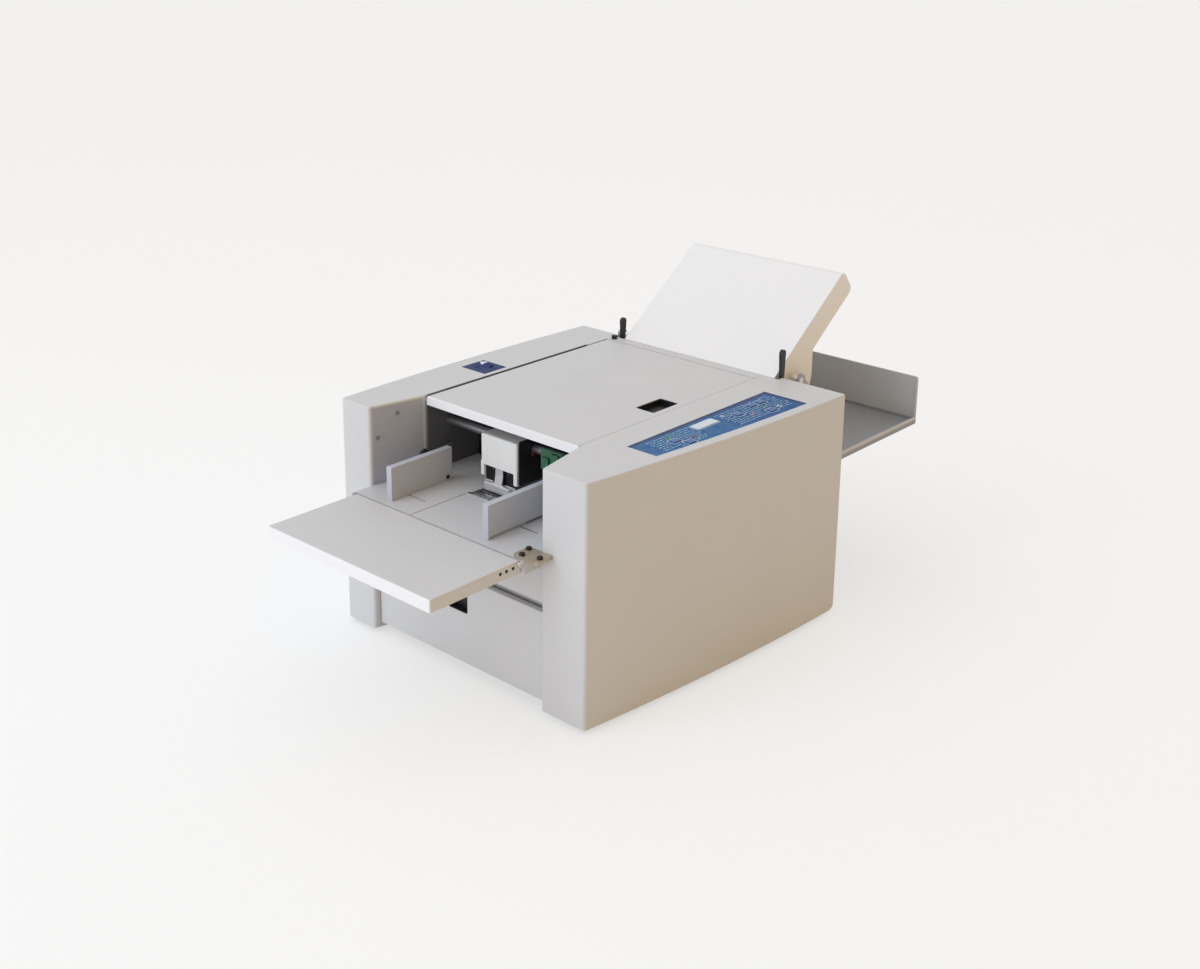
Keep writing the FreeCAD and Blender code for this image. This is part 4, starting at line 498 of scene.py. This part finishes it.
def heads(name, places, axis, radius, height, material, body, slot, socket_share=0.45, sharp=40):
    bm = bmesh.new()
    for x, y, z in places:
        head(bm, row(x, y, z), axis, radius, height, radius * socket_share)
    keep(name, to_mesh(bm, name), material, body, sharp)


def rivets(*values):
    heads(*values, socket_share=0.2, sharp=60)


# Printed marks of the keypad
PRINT_LOW, PRINT_HIGH = BODY_TOP - 0.05, BODY_TOP + 0.12
BORDER_SINK = 0.04
part_boxes = {name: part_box(name) for name in nodes}


def printed(name, outlines, ink, sink=0.0):
    """Flat marks on a cover's top, as one piece."""
    bm = bmesh.new()
    for outline in outlines:
        slab(bm, outline, PRINT_LOW, PRINT_HIGH - sink)
    keep(name, to_mesh(bm, name), ink, "machine")


def outline_round(name, margin, radius, width):
    """A printed frame round a node, seen from above."""
    low, high = part_boxes[name]
    x0, x1 = low[X] / MM - SHIFT[X], high[X] / MM - SHIFT[X]
    y0, y1 = low[Y] / MM - SHIFT[Y], high[Y] / MM - SHIFT[Y]
    inner = rectangle(x0 - margin, x1 + margin, y0 - margin, y1 + margin, radius)
    reach = margin + width
    outer = rectangle(x0 - reach, x1 + reach, y0 - reach, y1 + reach, radius + width)
    return outer, inner


BUTTONS = ("start_button", "stop_button", "test_button", "plus_button", "minus_button", "clear_button")
bm = bmesh.new()
for name in BUTTONS:
    ring(bm, *outline_round(name, 0.4, 2.0, 0.9), PRINT_LOW, PRINT_HIGH)
ring(bm, *outline_round("display_window", 1.2, 2.0, 1.0), PRINT_LOW, PRINT_HIGH)
keep("keypad_frames", to_mesh(bm, "keypad_frames"), "ink_white", "machine")

printed("keypad_border", [rectangle(216.0, 222.0, 147.5, 485.0), rectangle(222.0, 293.0, 478.5, 485.0)],
        "ink_navy", sink=BORDER_SINK)


def clear_of_keys(x0, x1, y0, y1, room):
    """Whether a mark keeps its distance from every button and the display."""
    for name in (*BUTTONS, "display_window"):
        low, high = part_boxes[name]
        near = [low[i] / MM - SHIFT[i] - room for i in (X, Y)]
        far = [high[i] / MM - SHIFT[i] + room for i in (X, Y)]
        if x1 > near[X] and x0 < far[X] and y1 > near[Y] and y0 < far[Y]:
            return False
    return True


# Rows of short bars and dots in two fields, one round each group of keys
FIELDS = ((172.0, 262.0), (336.0, 470.0))
LINES = 9
FIRST_LINE, LINE_PITCH, STAGGER = 228.0, 6.2, 3.0
MARK_WIDTH, MARK_GAP = 2.2, 2.6
MARK_LENGTHS = (7.0, 4.0, 5.5, 3.0)
FILM_EDGE, FILM_FRONT, FILM_FLARE = 268.0, 146.0, 0.10
DOT_ROOM, DOT_EDGE, DOT_RADIUS = 1.8, 266.0, 1.0
bars, dots = [], []
for field_low, field_high in FIELDS:
    for line in range(LINES):
        x = FIRST_LINE + LINE_PITCH * line
        x_end = x + MARK_WIDTH
        y = field_low + STAGGER * (line % 2)
        step = 0
        while y < field_high:
            length = MARK_LENGTHS[(step + line) % 4]
            on_film = x_end < FILM_EDGE + (y - FILM_FRONT) * FILM_FLARE
            if on_film and clear_of_keys(x, x_end, y, y + length, MARK_GAP):
                bars.append(rectangle(x, x_end, y, y + length))
            elif (step + line) % 3 == 0 and x < DOT_EDGE:
                if clear_of_keys(x, x_end, y, y + MARK_WIDTH, DOT_ROOM):
                    dots.append(rectangle(x, x_end, y, y + MARK_WIDTH, DOT_RADIUS))
            y += length + MARK_GAP
            step += 1
printed("keypad_marks", bars, "ink_pale")
printed("keypad_dots", [*dots, rectangle(233.0, 239.0, 343.0, 350.0, 2.6),
                        rectangle(268.0, 276.0, 443.0, 449.0, 2.0)], "ink_white")
printed("keypad_red_marks", [rectangle(258.0, 261.0, 236.5, 250.0, 1.0),
                             rectangle(261.0, 266.0, 383.0, 392.0, 2.0)], "ink_red")
printed("keypad_green_marks", [rectangle(233.0, 239.0, 206.0, 220.0, 2.0),
                               rectangle(266.0, 272.0, 242.0, 249.0, 2.0),
                               rectangle(252.0, 258.0, 424.0, 434.0, 2.0)], "ink_green")
printed("switch_marks", [[(-229.5, 281.0), (-221.0, 289.5), (-213.0, 282.0), (-216.0, 271.0)]], "ink_white")

# Fasteners that show at the back and at the tray's sides
PANEL_BACK = 562.5
COVER_BACK = 567.0
TRAY_SIDE = 176.0
TRAY_RIVET_Z = TABLE_TOP - 8.0
heads("rear_panel_screws", [(x, PANEL_BACK, z) for x in (-183.0, 191.0) for z in (30.0, 140.0, 252.0)],
      (0, 1, 0), 3.4, 2.2, "bright_screw", "machine", "chassis_zinc")
heads("cover_back_screws", [(x, COVER_BACK, z) for x in (-228.0, 272.0) for z in (60.0, 330.0)],
      (0, 1, 0), 3.8, 2.4, "bright_screw", "machine", "chassis_zinc")
for side, place in (("right", TRAY_SIDE), ("left", -TRAY_SIDE)):
    rivets("tray_rivets_" + side, [(place, y, TRAY_RIVET_Z) for y in (-73.0, -61.0, -48.0)],
           (place, 0, 0), 2.6, 0.7, "dark_screw", "feed_tray", "painted_grey")

# Small parts that show in the feed throat
BRACKET_TOP = TABLE_TOP + 5.0
GUIDE_SCREW_Z = TABLE_TOP + 6.0
PLUG_X = -166.0
heads("table_screws", [(-51.5, 86.0, TABLE_TOP), (143.0, 96.0, TABLE_TOP)],
      (0, 0, 1), 2.8, 0.3, "dark_screw", "machine", "feed_paint")
heads("guide_screw_left", [(-113.0, 97.0, GUIDE_SCREW_Z)],
      (1, 0, 0), 3.6, 1.0, "dark_screw", "left_guide", "feed_paint")
heads("bracket_screws", [(x, y, BRACKET_TOP) for x, y in ((173.9, -28.0), (167.0, -7.3), (200.6, -19.8))],
      (0, 0, 1), 4.6, 3.9, "dark_screw", "machine", "chassis_zinc")
rivets("wall_plug", [(PLUG_X, 95.0, 289.0)], (1, 0, 0), 5.5, 5.0, "black_plastic", "machine", "black_plastic")
rivets("cheek_cap", [(28.0, 145.0, 324.0)], (1, 0, 0), 4.0, 1.5, "cap_red", "machine", "black_plastic")

# Camera at the photograph's angle
FILM_WIDTH, FOCAL_LENGTH, FRAME_SHIFT = 36.0, 45.0, -0.15
CAMERA_PLACE = (1.500143, -1.736304, 1.158832)
camera_data = bpy.data.cameras.new("camera")
camera_data.sensor_width = FILM_WIDTH
camera_data.lens = FOCAL_LENGTH
camera_data.shift_y = FRAME_SHIFT
camera_data.clip_end = 60.0
camera = bpy.data.objects.new("camera", camera_data)
bpy.context.scene.collection.objects.link(camera)
YAW, PITCH, ROLL = 0.7228978, 0.2697587, 0.0126933
back = Vector((math.sin(YAW) * math.cos(PITCH), -math.cos(YAW) * math.cos(PITCH), math.sin(PITCH)))
right = Vector((math.cos(YAW), math.sin(YAW), 0.0))
up = back.cross(right)
rolled_right = right * math.cos(ROLL) + up * math.sin(ROLL)
rolled_up = up * math.cos(ROLL) - right * math.sin(ROLL)
basis = Matrix((rolled_right, rolled_up, back)).transposed()
camera.matrix_world = Matrix.Translation(CAMERA_PLACE) @ basis.to_4x4()
bpy.context.scene.camera = camera


LIGHT_TINT = (228, 238, 255)


def area_light(name, place, aim, size, power):
    data = bpy.data.lights.new(name, "AREA")
    data.shape = "DISK"
    data.size = size
    data.energy = power
    data.color = shade(*LIGHT_TINT)[:3]
    lamp = bpy.data.objects.new(name, data)
    bpy.context.scene.collection.objects.link(lamp)
    lamp.location = place
    lamp.rotation_euler = (Vector(aim) - Vector(place)).to_track_quat("-Z", "Y").to_euler()


area_light("key", (-1.2, -2.6, 3.4), (0.0, 0.0, 0.25), 1.8, 22.0)
area_light("front_fill", (-0.9, -3.4, 0.8), (0.0, 0.0, 0.2), 2.2, 24.0)

# Even light from above, the front and the left, warmer and weaker from the right
COOL_LIGHT = (0.90, 0.94, 0.99, 1.0)
WARM_LIGHT = (0.60, 0.34, 0.03, 1.0)
WARMEST_AT = 0.85
WORLD_STRENGTH = 0.98
world = bpy.data.worlds.new("studio")
bpy.context.scene.world = world
world.use_nodes = True
tree = world.node_tree
tree.nodes.clear()
toward = tree.nodes.new("ShaderNodeTexCoord")
split = tree.nodes.new("ShaderNodeSeparateXYZ")
tree.links.new(toward.outputs["Generated"], split.inputs[0])
side = tree.nodes.new("ShaderNodeMapRange")
side.interpolation_type = "SMOOTHSTEP"
side.inputs["From Min"].default_value = 0.0
side.inputs["From Max"].default_value = WARMEST_AT
tree.links.new(split.outputs["X"], side.inputs["Value"])
graded = tree.nodes.new("ShaderNodeMix")
graded.data_type = "RGBA"
graded.inputs["A"].default_value = COOL_LIGHT
graded.inputs["B"].default_value = WARM_LIGHT
tree.links.new(side.outputs[0], graded.inputs["Factor"])
soft = tree.nodes.new("ShaderNodeBackground")
soft.inputs["Strength"].default_value = WORLD_STRENGTH
tree.links.new(graded.outputs["Result"], soft.inputs["Color"])
output = tree.nodes.new("ShaderNodeOutputWorld")
tree.links.new(soft.outputs[0], output.inputs["Surface"])

REACH = 40.0
FLOOR_WHITE = (250, 250, 250)
FLOOR_GLOW_SHARE = 0.62
floor_mesh = bpy.data.meshes.new("floor")
floor_mesh.from_pydata([(-REACH, -REACH, 0), (REACH, -REACH, 0), (REACH, REACH, 0), (-REACH, REACH, 0)], [],
                       [(0, 1, 2, 3)])
floor = bpy.data.objects.new("floor", floor_mesh)
bpy.context.scene.collection.objects.link(floor)


def floor_finish():
    """A pale matt floor; what the camera sees directly or mirrored is lifted towards its own white."""
    ground = Finish("floor", FLOOR_WHITE, 0.9, specular=0.1)
    ground.mottle((248, 248, 248), 2.0, 0.5)
    lit = ground.done()
    rays = ground.node("ShaderNodeLightPath")
    seen = rays.outputs["Is Camera Ray"]
    for other in ("Is Glossy Ray", "Is Transmission Ray"):
        either = ground.node("ShaderNodeMath", operation="MAXIMUM")
        ground.link(seen, either.inputs[0])
        ground.link(rays.outputs[other], either.inputs[1])
        seen = either.outputs[0]
    share = ground.node("ShaderNodeMath", operation="MULTIPLY")
    share.inputs[1].default_value = FLOOR_GLOW_SHARE
    ground.link(seen, share.inputs[0])
    glow = ground.node("ShaderNodeEmission")
    glow.inputs["Color"].default_value = shade(*FLOOR_WHITE)
    mix = ground.node("ShaderNodeMixShader")
    ground.link(share.outputs[0], mix.inputs[0])
    ground.link(ground.bsdf.outputs[0], mix.inputs[1])
    ground.link(glow.outputs[0], mix.inputs[2])
    surface = ground.tree.nodes["Material Output"].inputs["Surface"]
    ground.link(mix.outputs[0], surface)
    return lit


floor_mesh.materials.append(floor_finish())

bpy.context.scene.view_settings.view_transform = "Standard"

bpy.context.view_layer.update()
